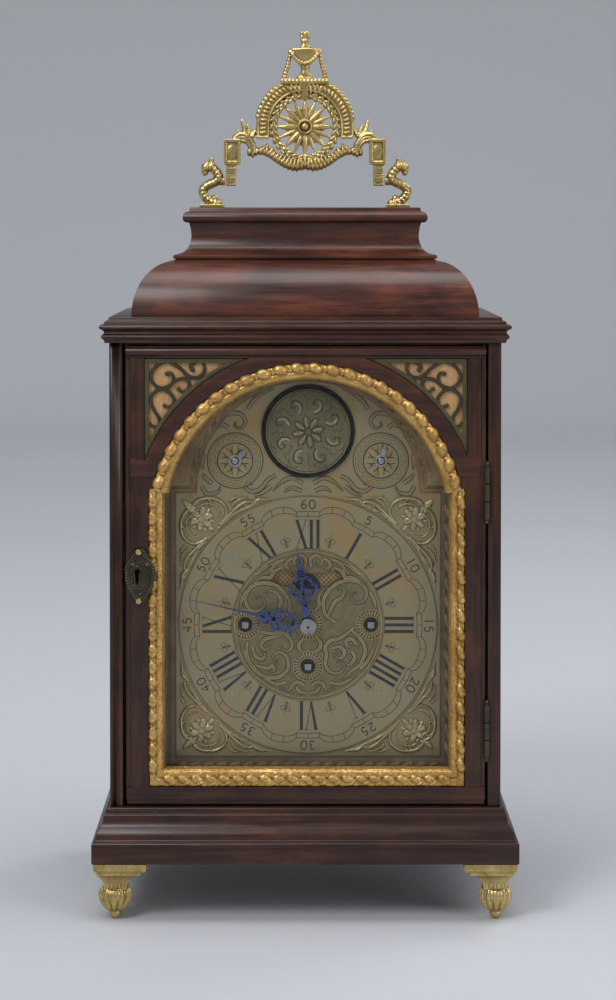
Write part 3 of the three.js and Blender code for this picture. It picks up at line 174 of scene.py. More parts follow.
class Shape:
    """Solids gathered into one mesh. What is added passes through the matrix in at."""

    def __init__(self):
        self.points = []
        self.faces = []
        self.at = Matrix.Identity(4)

    def add(self, points, faces):
        first = len(self.points)
        self.points += [self.at @ Vector(p) for p in points]
        self.faces += [[first + i for i in face] for face in faces]

    def skin(self, rings, loop=False):
        """Joins rings of points, closed by a face at each end or by meeting in a loop."""
        count = len(rings[0])
        faces = []
        for i in range(len(rings) if loop else len(rings) - 1):
            a, b = i * count, (i + 1) % len(rings) * count
            faces += [[a + j, a + (j + 1) % count, b + (j + 1) % count, b + j] for j in range(count)]
        if not loop:
            faces.append(list(range(count))[::-1])
            faces.append([(len(rings) - 1) * count + j for j in range(count)])
        self.add([p for ring in rings for p in ring], faces)

    def plate(self, outline, front, back, holes=()):
        """A flat board between two y planes."""
        loops = [outline, *holes]
        flat = [p for loop in loops for p in loop]
        triangles = tessellate_polygon([[Vector((x, z, 0)) for x, z in loop] for loop in loops])
        count = len(flat)
        faces = [list(t) for t in triangles] + [[i + count for i in reversed(t)] for t in triangles]
        first = 0
        for loop in loops:
            size = len(loop)
            for j in range(size):
                a, b = first + j, first + (j + 1) % size
                faces.append([a, b, b + count, a + count])
            first += size
        self.add([(x, front, z) for x, z in flat] + [(x, back, z) for x, z in flat], faces)

    def box(self, low, high):
        (x0, y0, z0), (x1, y1, z1) = low, high
        self.plate([(x0, z0), (x1, z0), (x1, z1), (x0, z1)], y0, y1)

    def moulded(self, profile, half_x, half_y):
        """A block whose four sides follow a profile of (overhang, z), from the bottom up."""
        self.skin([[(-half_x - o, -half_y - o, z), (half_x + o, -half_y - o, z),
                    (half_x + o, half_y + o, z), (-half_x - o, half_y + o, z)] for o, z in profile])

    def turned(self, profile, centre, axis="Z", steps=32):
        """A turned solid: a profile of (radius, height) round an axis through centre."""
        rings = []
        for radius, height in profile:
            radius = max(radius, 0.001)
            ring = []
            for i in range(steps):
                a = 2 * math.pi * i / steps
                u, v = radius * math.cos(a), radius * math.sin(a)
                ring.append({"Z": (u, v, height), "Y": (u, height, v), "X": (height, u, v)}[axis])
            rings.append([tuple(c + d for c, d in zip(p, centre)) for p in ring])
        self.skin(rings)

    def swept(self, path, section, closed=False):
        """A section of (out, y) carried along a flat path with mitred corners. Out is to its left."""
        rings = []
        count = len(path)
        for i, point in enumerate(path):
            before = path[i - 1] if closed or i else None
            after = path[(i + 1) % count] if closed or i < count - 1 else None
            runs = []
            for a, b in ((before, point), (point, after)):
                if a is not None and b is not None:
                    run = Vector(b) - Vector(a)
                    runs.append(run.normalized())
            normals = [Vector((-run.y, run.x)) for run in runs]
            middle = sum(normals, Vector((0, 0))).normalized()
            out = middle / max(middle.dot(normals[0]), 0.3)
            rings.append([(point[0] + out.x * o, y, point[1] + out.y * o) for o, y in section])
        self.skin(rings, loop=closed)

    def hoop(self, profile, x, z, steps=72):
        """A ring round (x, z) that faces the front, its section a profile of (radius, y)."""
        rings = []
        for angle in spread(steps):
            across, up = polar(1, angle)
            rings.append([(x + r * across, y, z + r * up) for r, y in profile])
        self.skin(rings, loop=True)

    def rod(self, points, radius, sides=10, flat=1.0, y=0.0):
        """A round rod along flat or solid points, its radius a number or a function of the share run."""
        line = [Vector((p[0], y, p[1]) if len(p) == 2 else p) for p in points]
        rings = []
        last = len(line) - 1
        for i, point in enumerate(line):
            along = (line[min(i + 1, last)] - line[max(i - 1, 0)]).normalized()
            side = along.cross(Vector((0, 1, 0)))
            side = side.normalized() if side.length > 0.05 else Vector((1, 0, 0))
            other = side.cross(along).normalized()
            r = max(radius(i / last) if callable(radius) else radius, 0.02)
            rings.append([point + r * (math.cos(a) * side + flat * math.sin(a) * other)
                          for a in (2 * math.pi * j / sides for j in range(sides))])
        self.skin(rings)

    def ball(self, centre, radius, squash=1.0, steps=10):
        profile = [(radius * math.sin(a), -radius * squash * math.cos(a))
                   for a in (math.pi * i / steps for i in range(steps + 1))]
        self.turned(profile, centre, "Y", steps + 2)

    def egg(self, centre, halves, turn=0.0, lean=0.0, steps=9):
        """An ellipsoid, turned in the picture plane, its far end leaning back, in degrees."""
        turned = (Matrix.Translation(centre) @ Matrix.Rotation(-math.radians(turn), 4, "Y")
                  @ Matrix.Rotation(math.radians(lean), 4, "Z") @ Matrix.Diagonal((*halves, 1)))
        rings = []
        for i in range(steps + 1):
            a = math.pi * i / steps
            wide = max(math.sin(a), 1e-3)
            ring = []
            for b in (2 * math.pi * j / (steps + 3) for j in range(steps + 3)):
                ring.append(turned @ Vector((math.cos(a), wide * math.cos(b), wide * math.sin(b))))
            rings.append(ring)
        self.skin(rings)

    def leaf(self, points, half, rise, seat, lobes=0, ridge=0.35, tail=0.12):
        """A cast leaf along a flat line: half its greatest width, its rise off y = seat towards the front.

        Lobes cut into its edges, a ridge runs down its middle, and it narrows to tail times its width."""
        rings = []
        last = len(points) - 1
        for i, (x, z) in enumerate(points):
            t = i / last
            a, b = points[max(i - 1, 0)], points[min(i + 1, last)]
            run = Vector((b[0] - a[0], b[1] - a[1])).normalized()
            swell = tail + (1 - tail) * math.sin(math.pi * min(1, 0.12 + 0.88 * t) ** 0.8)
            cut = 1 - 0.34 * abs(math.sin(math.pi * lobes * t)) if lobes else 1
            width = half * swell * cut
            high = rise * (0.35 + 0.65 * swell)
            top = []
            for u in (-1, -0.62, -0.22, 0, 0.22, 0.62, 1):
                bulge = math.sqrt(1 - u * u) * (1 - ridge) + ridge * (1 - abs(u)) ** 2
                top.append((x - run.y * width * u, seat - high * bulge, z + run.x * width * u))
            under = [(x - run.y * width * u, seat + 0.15, z + run.x * width * u) for u in (0.9, -0.9)]
            rings.append(top + under)
        self.skin(rings)

    def stroke(self, points, half, front, deep=0.12):
        """A flat line of even or varying width on the plane y = front."""
        rings = []
        last = len(points) - 1
        for i, (x, z) in enumerate(points):
            a, b = points[max(i - 1, 0)], points[min(i + 1, last)]
            run = Vector((b[0] - a[0], b[1] - a[1])).normalized()
            w = half(i / last) if callable(half) else half
            left, right = (x - run.y * w, z + run.x * w), (x + run.y * w, z - run.x * w)
            rings.append([(left[0], front, left[1]), (right[0], front, right[1]),
                          (right[0], front + deep, right[1]), (left[0], front + deep, left[1])])
        self.skin(rings)

    def mesh(self, name):
        mesh = bpy.data.meshes.new(name)
        mesh.from_pydata([p * MM for p in self.points], [], self.faces)
        work = bmesh.new()
        work.from_mesh(mesh)
        bmesh.ops.remove_doubles(work, verts=work.verts, dist=1e-7)
        bmesh.ops.recalc_face_normals(work, faces=work.faces)
        work.to_mesh(mesh)
        work.free()
        return mesh


def applied(thing):
    """Replaces an object's mesh by what its modifiers make of it."""
    graph = bpy.context.evaluated_depsgraph_get()
    made = bpy.data.meshes.new_from_object(thing.evaluated_get(graph))
    thing.modifiers.clear()
    thing.data = made


def roughened(mesh, size, depth):
    """Moves a mesh's points in and out by noise of a size, as hand work and casting leave a surface."""
    normals = [vertex.normal.copy() for vertex in mesh.vertices]
    for vertex, normal in zip(mesh.vertices, normals):
        place = vertex.co / (size * MM)
        vertex.co += normal * (depth * MM * (noise.noise(place) + 0.5 * noise.noise(2.3 * place)))


def piece(name, shape, finish, body, replaces=(), bevel=0.0, fuse=0.0, soften=0, sharp=35, rough=None):
    """Makes a shape one piece of the clock: bevelled, or fused into one casting, then set on its body."""
    thing = bpy.data.objects.new(name, shape.mesh(name))
    bpy.context.scene.collection.objects.link(thing)
    if fuse:
        remesh = thing.modifiers.new("fuse", "REMESH")
        remesh.mode = "VOXEL"
        remesh.voxel_size = fuse * MM
    if soften:
        relax = thing.modifiers.new("soften", "SMOOTH")
        relax.iterations = soften
        relax.factor = 0.5
    if bevel:
        edge = thing.modifiers.new("edge", "BEVEL")
        edge.width = bevel * MM
        edge.segments = 2
        edge.limit_method = "ANGLE"
        edge.angle_limit = math.radians(40)
    if fuse or soften or bevel:
        applied(thing)
    mesh = thing.data
    if rough:
        roughened(mesh, *rough)
    mesh.materials.clear()
    mesh.materials.append(finish)
    mesh.shade_smooth()
    if not fuse:
        mesh.set_sharp_from_angle(angle=math.radians(sharp))
    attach(thing, body)
    if replaces:
        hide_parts(*replaces)
    return thing


# ---- Finishes ----

class Finish:
    """A material and short ways to add nodes to it."""

    def __init__(self, name, **constants):
        self.material = bpy.data.materials.new(name)
        self.material.use_nodes = True
        self.tree = self.material.node_tree
        self.shader = self.tree.nodes["Principled BSDF"]
        self.place = self.add("TexCoord").outputs["Object"]
        for key, value in constants.items():
            self.shader.inputs[key.replace("_", " ")].default_value = value

    def add(self, kind, inputs=None, **settings):
        node = self.tree.nodes.new("ShaderNode" + kind)
        for key, value in settings.items():
            setattr(node, key, value)
        for key, value in (inputs or {}).items():
            self.put(node.inputs[key], value)
        return node

    def put(self, socket, value):
        if isinstance(value, bpy.types.NodeSocket):
            self.tree.links.new(value, socket)
        else:
            socket.default_value = value

    def stretched(self, scale):
        return self.add("Mapping", {"Vector": self.place, "Scale": scale}).outputs["Vector"]

    def noise(self, scale, detail=4.0, place=None, rough=0.55, distortion=0.0):
        return self.add("TexNoise", {"Vector": place or self.place, "Scale": scale, "Detail": detail,
                                     "Roughness": rough, "Distortion": distortion}).outputs["Fac"]

    def span(self, value, low, high, to_low=0.0, to_high=1.0):
        """Stretches a share from one range to another, clamped."""
        return self.add("MapRange", {"Value": value, "From Min": low, "From Max": high,
                                     "To Min": to_low, "To Max": to_high}).outputs["Result"]

    def ramp(self, value, *stops):
        node = self.add("ValToRGB", {"Fac": value})
        elements = node.color_ramp.elements
        while len(elements) < len(stops):
            elements.new(0.5)
        for element, (position, colour) in zip(elements, stops):
            element.position = position
            element.color = (*colour, 1)
        return node.outputs["Color"]

    def mix(self, share, a, b, blend="MIX"):
        node = self.add("Mix", data_type="RGBA", blend_type=blend)
        for index, value in ((0, share), (6, a), (7, b)):
            if isinstance(value, tuple):
                value = (*value, 1)
            self.put(node.inputs[index], value)
        return node.outputs[2]

    def sum(self, a, b, operation="ADD"):
        node = self.add("Math", operation=operation)
        self.put(node.inputs[0], a)
        self.put(node.inputs[1], b)
        return node.outputs[0]

    def bump(self, height, depth, strength=1.0):
        """Relief in millimetres."""
        node = self.add("Bump", {"Height": height, "Distance": depth * MM, "Strength": strength})
        self.put(self.shader.inputs["Normal"], node.outputs["Normal"])

    def set(self, **sockets):
        for key, value in sockets.items():
            self.put(self.shader.inputs[key.replace("_", " ")], value)
        return self.material


def wood(name, grain, dark=1.0, red=1.0, shine=0.32):
    """Polished reddish brown wood whose grain runs along x, y or z."""
    f = Finish(name, Coat_Weight=0.16, Coat_Roughness=0.2, Specular_IOR_Level=0.32)
    along = {"x": (0.07, 1, 1), "y": (1, 0.07, 1), "z": (1, 1, 0.07)}[grain]
    fibres = f.noise(230, 8, f.stretched(along), 0.62, 0.6)
    figure = f.noise(34, 5, f.stretched(tuple(0.55 if a < 1 else 1 for a in along)), 0.6, 1.2)
    clouds = f.noise(11, 3)
    pores = f.noise(1500, 2, f.stretched(tuple(0.04 if a < 1 else 1 for a in along)))
    deep = (0.020 * dark, 0.0075 * dark, 0.0055 * dark)
    middle = (0.070 * dark, 0.022 * dark * red, 0.012 * dark)
    warm = (0.155 * dark, 0.050 * dark * red, 0.021 * dark)
    grained = f.ramp(f.sum(f.sum(fibres, 0.62, "MULTIPLY"), f.sum(figure, 0.42, "MULTIPLY")),
                     (0.36, deep), (0.50, middle), (0.66, warm))
    shaded = f.mix(f.span(clouds, 0.38, 0.66, 0.0, 0.62), grained, deep)
    worn = f.mix(f.span(pores, 0.60, 0.72, 0.0, 0.55), shaded, (0.012, 0.005, 0.004))
    rough = f.span(f.sum(fibres, clouds, "MULTIPLY"), 0.12, 0.42, shine - 0.06, shine + 0.14)
    f.bump(f.sum(fibres, pores, "SUBTRACT"), 0.10, 0.5)
    return f.set(Base_Color=worn, Roughness=rough)


def cast_metal(name, bright, dull, dark, rough=0.3, wear=1.0, scale=1.0, metal=1.0):
    """Cast and gilt or lacquered metal: pitted, dirty in its hollows and rubbed bright on top."""
    f = Finish(name, Metallic=metal)
    blotch = f.noise(90 * scale, 5, rough=0.6)
    pits = f.noise(900 * scale, 3, rough=0.6)
    hollow = f.span(f.add("NewGeometry").outputs["Pointiness"], 0.455, 0.52)
    base = f.mix(f.span(blotch, 0.38, 0.64), bright, dull)
    dirty = f.mix(f.span(pits, 0.56, 0.70, 0.0, 0.7 * wear), base, dark)
    colour = f.mix(f.span(hollow, 0.0, 1.0, 0.78 * wear, 0.0), dirty, dark)
    f.bump(f.sum(pits, blotch), 0.16, 0.55)
    return f.set(Base_Color=colour, Roughness=f.span(blotch, 0.3, 0.7, rough - 0.06, rough + 0.16))


def sheet_metal(name, bright, stain, rough=0.36, metal=1.0, brush=(1, 1, 0.05), dark=(0.05, 0.045, 0.03)):
    """Rolled and filed metal with fine lines and soft stains."""
    f = Finish(name, Metallic=metal)
    lines = f.noise(1400, 3, f.stretched(brush), 0.7)
    cloud = f.noise(30, 5, rough=0.6, distortion=0.4)
    spots = f.noise(260, 4)
    base = f.mix(f.span(cloud, 0.48, 0.68), bright, stain)
    speck = f.mix(f.span(spots, 0.66, 0.74, 0.0, 0.6), base, dark)
    f.bump(lines, 0.02, 0.6)
    return f.set(Base_Color=f.mix(f.span(lines, 0.3, 0.7, 0.0, 0.16), speck, dark),
                 Roughness=f.span(f.sum(lines, cloud, "MULTIPLY"), 0.15, 0.4, rough - 0.05, rough + 0.12))


def glass(name):
    """A thin old pane: clear, with a soft reflection that grows towards its edges."""
    f = Finish(name, Roughness=0.04, IOR=1.45)
    f.shader.inputs["Base Color"].default_value = (0.93, 0.97, 0.95, 1)
    clear = f.add("BsdfTransparent", {"Color": (0.99, 0.992, 0.985, 1)})
    gloss = f.add("BsdfGlossy", {"Color": (1, 1, 1, 1), "Roughness": 0.05})
    wave = f.add("Bump", {"Height": f.noise(22, 2), "Distance": 0.4 * MM, "Strength": 0.15})
    f.put(gloss.inputs["Normal"], wave.outputs["Normal"])
    edge = f.add("Fresnel", {"IOR": 1.22})
    blend = f.add("MixShader")
    f.put(blend.inputs[0], edge.outputs["Fac"])
    f.put(blend.inputs[1], clear.outputs[0])
    f.put(blend.inputs[2], gloss.outputs[0])
    f.tree.nodes.remove(f.shader)
    f.put(f.tree.nodes["Material Output"].inputs["Surface"], blend.outputs[0])
    return f.material


def woven_cloth(name):
    f = Finish(name, Roughness=0.92, Sheen_Weight=0.25)
    warp = f.noise(2600, 2, f.stretched((1, 1, 0.06)))
    weft = f.noise(2600, 2, f.stretched((0.06, 1, 1)))
    threads = f.sum(warp, weft)
    stain = f.noise(40, 4)
    base = f.mix(f.span(stain, 0.35, 0.7), (0.60, 0.36, 0.16), (0.42, 0.235, 0.10))
    f.bump(threads, 0.12, 0.7)
    return f.set(Base_Color=f.mix(f.span(threads, 0.8, 1.25, 0.0, 0.4), base, (0.20, 0.11, 0.05)))


# A black for pieces that stand in for shade: painted shade in the keyhole, in the winding holes and in the
# minute collet's slot.
def paint_black(name):
    f = Finish(name, Roughness=0.6)
    return f.set(Base_Color=f.mix(f.noise(300, 3), (0.006, 0.006, 0.007), (0.022, 0.020, 0.019)))


def engraving_fill(name):
    f = Finish(name, Roughness=0.55)
    return f.set(Base_Color=f.mix(f.span(f.noise(500, 3), 0.35, 0.65), (0.016, 0.019, 0.028),
                                  (0.045, 0.048, 0.058)))


WOOD_X = wood("wood_along_x", "x", dark=0.62)
WOOD_Z = wood("wood_along_z", "z", dark=0.52, red=1.1)
DOME_WOOD = wood("figured_wood", "x", dark=1.15, red=0.92, shine=0.30)
STRIP_WOOD = wood("plain_red_wood", "x", dark=0.80, red=0.95, shine=0.36)
GILT = cast_metal("worn_gilding", (0.72, 0.45, 0.14), (0.46, 0.255, 0.065), (0.070, 0.030, 0.012),
                  rough=0.36, scale=0.8, metal=0.65)
DULL_GILT = cast_metal("dull_gilding", (0.40, 0.28, 0.14), (0.27, 0.18, 0.09), (0.06, 0.04, 0.03),
                       rough=0.5, wear=0.8, scale=0.7, metal=0.2)
CAST_BRASS = cast_metal("cast_brass", (0.72, 0.55, 0.24), (0.52, 0.38, 0.14), (0.07, 0.05, 0.02), rough=0.30)
PALE_GILT = cast_metal("pale_gilding", (0.70, 0.58, 0.34), (0.52, 0.41, 0.21), (0.075, 0.055, 0.028),
                       rough=0.28, wear=1.3, metal=0.6)
BELL = sheet_metal("bell_metal", (0.70, 0.55, 0.28), (0.56, 0.42, 0.20), rough=0.26)
PLATE_BRASS = sheet_metal("plate_brass", (0.66, 0.50, 0.22), (0.50, 0.38, 0.18), rough=0.32)
STEEL = sheet_metal("filed_steel", (0.42, 0.42, 0.43), (0.28, 0.27, 0.26), rough=0.32)
BRONZE = cast_metal("dark_bronze", (0.085, 0.072, 0.046), (0.050, 0.044, 0.032), (0.012, 0.010, 0.008),
                    rough=0.36, wear=0.8, scale=1.4, metal=0.7)
OLIVE = cast_metal("olive_brass", (0.110, 0.095, 0.040), (0.075, 0.066, 0.030), (0.020, 0.018, 0.010),
                   rough=0.42, wear=0.7, metal=0.5)
DIAL_BRASS = sheet_metal("dial_brass", (0.385, 0.335, 0.195), (0.47, 0.31, 0.13), rough=0.40, metal=0.30,
                         dark=(0.14, 0.12, 0.06))
DISC_BRASS = cast_metal("stippled_brass", (0.27, 0.215, 0.10), (0.20, 0.17, 0.085), (0.05, 0.042, 0.02),
                        rough=0.42, wear=0.9, scale=2.6, metal=0.3)
DISC_BRASS_BRIGHT = cast_metal("engraved_brass", (0.46, 0.375, 0.19), (0.40, 0.29, 0.125),
                               (0.10, 0.08, 0.04), rough=0.34, wear=0.5, scale=1.6, metal=0.4)
BOSS_BRASS = sheet_metal("boss_brass", (0.24, 0.215, 0.115), (0.16, 0.145, 0.08), rough=0.26, metal=0.6)
DARK_RIM = sheet_metal("dark_rim", (0.060, 0.064, 0.072), (0.035, 0.036, 0.040), rough=0.30, metal=0.7)
BLUED = sheet_metal("blued_steel", (0.060, 0.105, 0.300), (0.070, 0.085, 0.230), rough=0.24, metal=0.6,
                    dark=(0.01, 0.012, 0.03))
AMBER = sheet_metal("amber_ground", (0.55, 0.34, 0.14), (0.34, 0.21, 0.09), rough=0.5, metal=0.1)
GLASS = glass("old_glass")
CLOTH = woven_cloth("tan_lining")
ENGRAVED = engraving_fill("engraving_fill")
DARK = paint_black("black_painted_shade")


def finish_nodes(material, *nodes):
    """Gives CAD nodes that stay visible their finish."""
    for node in nodes:
        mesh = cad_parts[node].data
        mesh.materials.clear()
        mesh.materials.append(material)


# ---- Case ----

BASE_PLINTH = [(-0.8, 0), (-0.2, 0.2), (0, 0.9), (0, 12.2), (-0.3, 12.8), (-1.0, 13.2), (-2.0, 13.3),
               (-2.0, 14.2), (-2.5, 14.5)]
BASE_OGEE = [(-2.5, 14.5), (-2.4, 16.2), (-3.0, 18.4), (-4.3, 20.6), (-5.8, 22.8), (-6.6, 25.2), (-6.9, 27.6)]
BASE_STEP = [(-6.9, 28.6), (-7.3, 29.2), (-8.3, 29.4)]
CORNICE_NOSE = [(2.7, 0), (3.0, 1.6), (4.5, 3.2), (4.4, 4.6), (3.2, 5.8), (3.1, 7.2), (4.2, 8.0), (5.6, 8.9),
                (5.9, 9.8), (5.4, 10.9)]
CORNICE_TOP = [(3.4, 11.3), (2.8, 11.5), (2.8, 12.9), (2.4, 13.3), (0.4, 13.5)]
DOME_INSET, DOME_SWELL, DOME_RISE = 12.7, 26.0, 34.3
BELL_GROOVE = [(-38.9, 34.6), (-38.9, 35.4), (-37.4, 35.8), (-37.4, 37.6), (-38.4, 38.0)]
BELL_NECK = [(-38.6, 38.1), (-41.6, 38.7), (-44.8, 40.6), (-47.0, 43.6), (-48.2, 47.4), (-48.4, 51.0),
             (-47.8, 55.4), (-47.2, 57.4)]
BELL_CAP = [(-47.0, 58.3), (-44.6, 58.6), (-43.3, 60.0), (-43.1, 62.0), (-43.9, 64.0), (-45.2, 65.0),
            (-47.0, 65.3)]


def build_moulding(name, node, profile, low, finish, bevel=0.25, out=0.0):
    """A block that follows a profile of (overhang, height), both counted from out and low."""
    shape = Shape()
    shape.moulded([(out + o, low + z) for o, z in profile], HALF_WIDTH, HALF_DEPTH)
    piece(name, shape, finish, "case", [node], bevel=bevel)


def build_mouldings():
    high = base_high.z - base_low.z
    base = BASE_PLINTH + smooth(BASE_OGEE, 4)[1:] + BASE_STEP + [(-8.3, high - 0.5), (-8.6, high)]
    build_moulding("base", "base_moulding", base, base_low.z, WOOD_X, 0.35, base_high.x - HALF_WIDTH)
    cornice = smooth(CORNICE_NOSE, 4) + CORNICE_TOP + [(0.3, cornice_high.z - cornice_low.z)]
    build_moulding("cornice_moulding", "cornice", cornice, cornice_low.z, WOOD_X)
    high = top_high.z - top_low.z
    dome = [(-DOME_INSET - 0.02, 0)]
    for i in range(1, 29):
        a = math.radians(84 * i / 28)
        dome.append((-DOME_INSET - DOME_SWELL * (1 - math.cos(a)), DOME_RISE * math.sin(a)))
    rim = [(-47.2, 66.0), (-47.4, high - 0.3), (-47.8, high)]
    bell_top = dome + BELL_GROOVE + smooth(BELL_NECK, 4) + smooth(BELL_CAP, 3) + rim
    build_moulding("bell_top_moulding", "bell_top", bell_top, top_low.z, DOME_WOOD)


def build_sides():
    """Each side: a veneered wall with an arched, beaded window."""
    middle = (wall_low.z + wall_high.z) / 2
    for side, sign in (("left", -1), ("right", 1)):
        wall = Shape()
        turn = Matrix(((0, sign, 0, 0), (1, 0, 0, 0), (0, 0, 1, 0), (0, 0, 0, 1)))
        wall.at = turn
        outline = [(-HALF_DEPTH, wall_low.z), (HALF_DEPTH, wall_low.z), (HALF_DEPTH, wall_high.z),
                   (-HALF_DEPTH, wall_high.z)]
        window = [(-WINDOW_HALF, WINDOW_FOOT), (WINDOW_HALF, WINDOW_FOOT)]
        window += arc(0, WINDOW_SPRING, WINDOW_HALF, 0, 180, 24)
        if side == "left":
            y0, y1, z0, z1 = DOOR_FRONT + 5, DOOR_FRONT + 13, LOCK_LEVEL - 6, LOCK_LEVEL + 6
            mortise = [(y0, z0), (y1, z0), (y1, z1), (y0, z1)]
            wall.plate(outline, HALF_WIDTH - WALL, HALF_WIDTH - WALL + MORTISE_DEPTH, [window, mortise])
            wall.plate(outline, HALF_WIDTH - WALL + MORTISE_DEPTH, HALF_WIDTH, [window])
        else:
            wall.plate(outline, HALF_WIDTH - WALL, HALF_WIDTH, [window])
        piece(f"{side}_wall", wall, WOOD_Z, "case", [f"{side}_side_panel"], bevel=0.5)
        bead = Shape()
        bead.at = turn
        ring = [(u * 0.97, middle + (v - middle) * 0.985) for u, v in window]
        section = [(u, HALF_WIDTH - 1.6 + 1.1 * v) for u, v in circle(0, 0, 1, 8)]
        bead.swept(ring, section, closed=True)
        piece(f"{side}_window_bead", bead, WOOD_Z, "case")


# ---- Front door, about the arch's centre, with y = 0 on the door's front face ----

DOOR_LEFT, DOOR_RIGHT = door_low.x - ARCH_X, door_high.x - ARCH_X
DOOR_FOOT, DOOR_TOP = door_low.z - ARCH_Z, door_high.z - ARCH_Z
DOOR_THICK = DOOR_BACK - DOOR_FRONT
MASK_FOOT = mask_low.z - ARCH_Z
MASK_SEAT = mask_high.y - DOOR_FRONT
STRIP_RADIUS = 106.5
FRET_REACH = {-1: 100.35, 1: 98.95}
FRET_TOP = 100.4
BLOCK_FOOT = 27.2
BLOCK_TOP = 38.6
LOCK_X = DOOR_LEFT + 6.95
LOCK_Z = LOCK_LEVEL - ARCH_Z
REBATE = 2.8


def on_door():
    shape = Shape()
    shape.at = Matrix.Translation((ARCH_X, DOOR_FRONT, ARCH_Z))
    return shape


def keyhole(x, z):
    """A round hole over a slot, clockwise."""
    return [(x - 0.85, z - 4)] + arc(x, z + 2, 1.7, 230, -50, 12) + [(x + 0.85, z - 4)]


def build_door_boards():
    stiles = on_door()
    edge, rise_x = MASK_HALF, math.sqrt(MASK_RADIUS ** 2 - MASK_RISE ** 2)
    top_x = math.sqrt(MASK_RADIUS ** 2 - BLOCK_FOOT ** 2)
    for sign, outer in ((-1, -DOOR_LEFT), (1, DOOR_RIGHT)):
        reach = FRET_REACH[sign]
        face = [(outer - REBATE, MASK_FOOT), (edge, MASK_FOOT), (edge, MASK_RISE), (rise_x, MASK_RISE),
                (top_x, BLOCK_FOOT), (reach, BLOCK_FOOT), (reach, FRET_TOP), (outer - REBATE, FRET_TOP)]
        lap = outer - REBATE - 0.4
        strip = [(outer, MASK_FOOT), (lap, MASK_FOOT), (lap, FRET_TOP), (outer, FRET_TOP)]
        face, strip = flipped(face, sign), flipped(strip, sign)
        if sign > 0:
            stiles.plate(face, 0, DOOR_THICK)
            stiles.plate(strip, 0.9, DOOR_THICK)
            continue
        pocket = [(LOCK_X - 5.3, LOCK_Z - 15.3), (LOCK_X + 4.3, LOCK_Z - 15.3), (LOCK_X + 4.3, LOCK_Z + 15.3),
                  (LOCK_X - 5.3, LOCK_Z + 15.3)]
        stiles.plate(face, 0, 6.4, [keyhole(LOCK_X, LOCK_Z)])
        stiles.plate(strip, 0.9, 7.0)
        board = [(-outer, MASK_FOOT), *face[1:-1], (-outer, FRET_TOP)]
        stiles.plate(board, 6.4, 7.0, [pocket])
        slotted = [*board, (-outer, LOCK_Z + 4.2), (LOCK_X - 5.3, LOCK_Z + 4.2), *pocket[::-1],
                   (LOCK_X - 5.3, LOCK_Z - 4.2), (-outer, LOCK_Z - 4.2)]
        stiles.plate(slotted, 7.0, 11.4)
        stiles.plate(board, 11.4, DOOR_THICK, [pocket])
    piece("door_stiles", stiles, WOOD_Z, "front_door", ["door_frame"], bevel=0.3)

    rails = on_door()
    rails.box((DOOR_LEFT, 0.15, DOOR_FOOT + 3.1), (DOOR_RIGHT, DOOR_THICK, MASK_FOOT))
    rails.box((DOOR_LEFT + 0.3, 1.3, DOOR_FOOT), (DOOR_RIGHT - 0.3, DOOR_THICK, DOOR_FOOT + 3.3))
    rails.box((DOOR_LEFT, 0.1, FRET_TOP), (DOOR_RIGHT, DOOR_THICK, DOOR_TOP))
    nose = [(y, z) for z, y in arc(DOOR_TOP - 3.2, 0, 2.8, 0, -180, 12)]
    bead = [(0.6, DOOR_TOP - 0.4), *nose, (0.6, DOOR_TOP - 6)]
    rails.skin([[(x, y, z) for y, z in bead] for x in (DOOR_LEFT, DOOR_RIGHT)])
    piece("door_rails", rails, WOOD_X, "front_door", ["door_frame"], bevel=0.3)

    strip = on_door()
    start = math.degrees(math.asin(BLOCK_FOOT / STRIP_RADIUS))
    inner = math.degrees(math.asin(BLOCK_FOOT / (MASK_RADIUS + 0.3)))
    outline = arc(0, 0, STRIP_RADIUS, start, 180 - start, 48)
    outline += arc(0, 0, MASK_RADIUS + 0.3, 180 - inner, inner, 48)
    strip.plate(outline, -0.35, DOOR_THICK)
    for sign, outer in ((-1, -DOOR_LEFT), (1, DOOR_RIGHT)):
        block = [(outer - REBATE, BLOCK_FOOT), (top_x + 2, BLOCK_FOOT), (STRIP_RADIUS - 8, BLOCK_TOP - 1),
                 (outer - REBATE, BLOCK_TOP)]
        strip.plate(flipped(block, sign), -0.15, DOOR_THICK)
    piece("door_arch_strip", strip, STRIP_WOOD, "front_door", ["door_frame"], bevel=0.3)


MASK_SECTION = [(0, MASK_SEAT), (0, 5.2), (0.6, 2.2), (1.6, 0.7), (3.0, 0.1), (4.4, 0.3), (5.0, 1.2),
                (5.7, 0.6), (7.2, 0.1), (8.8, 0.3), (9.5, 1.2), (9.65, 2.4), (9.65, MASK_SEAT)]


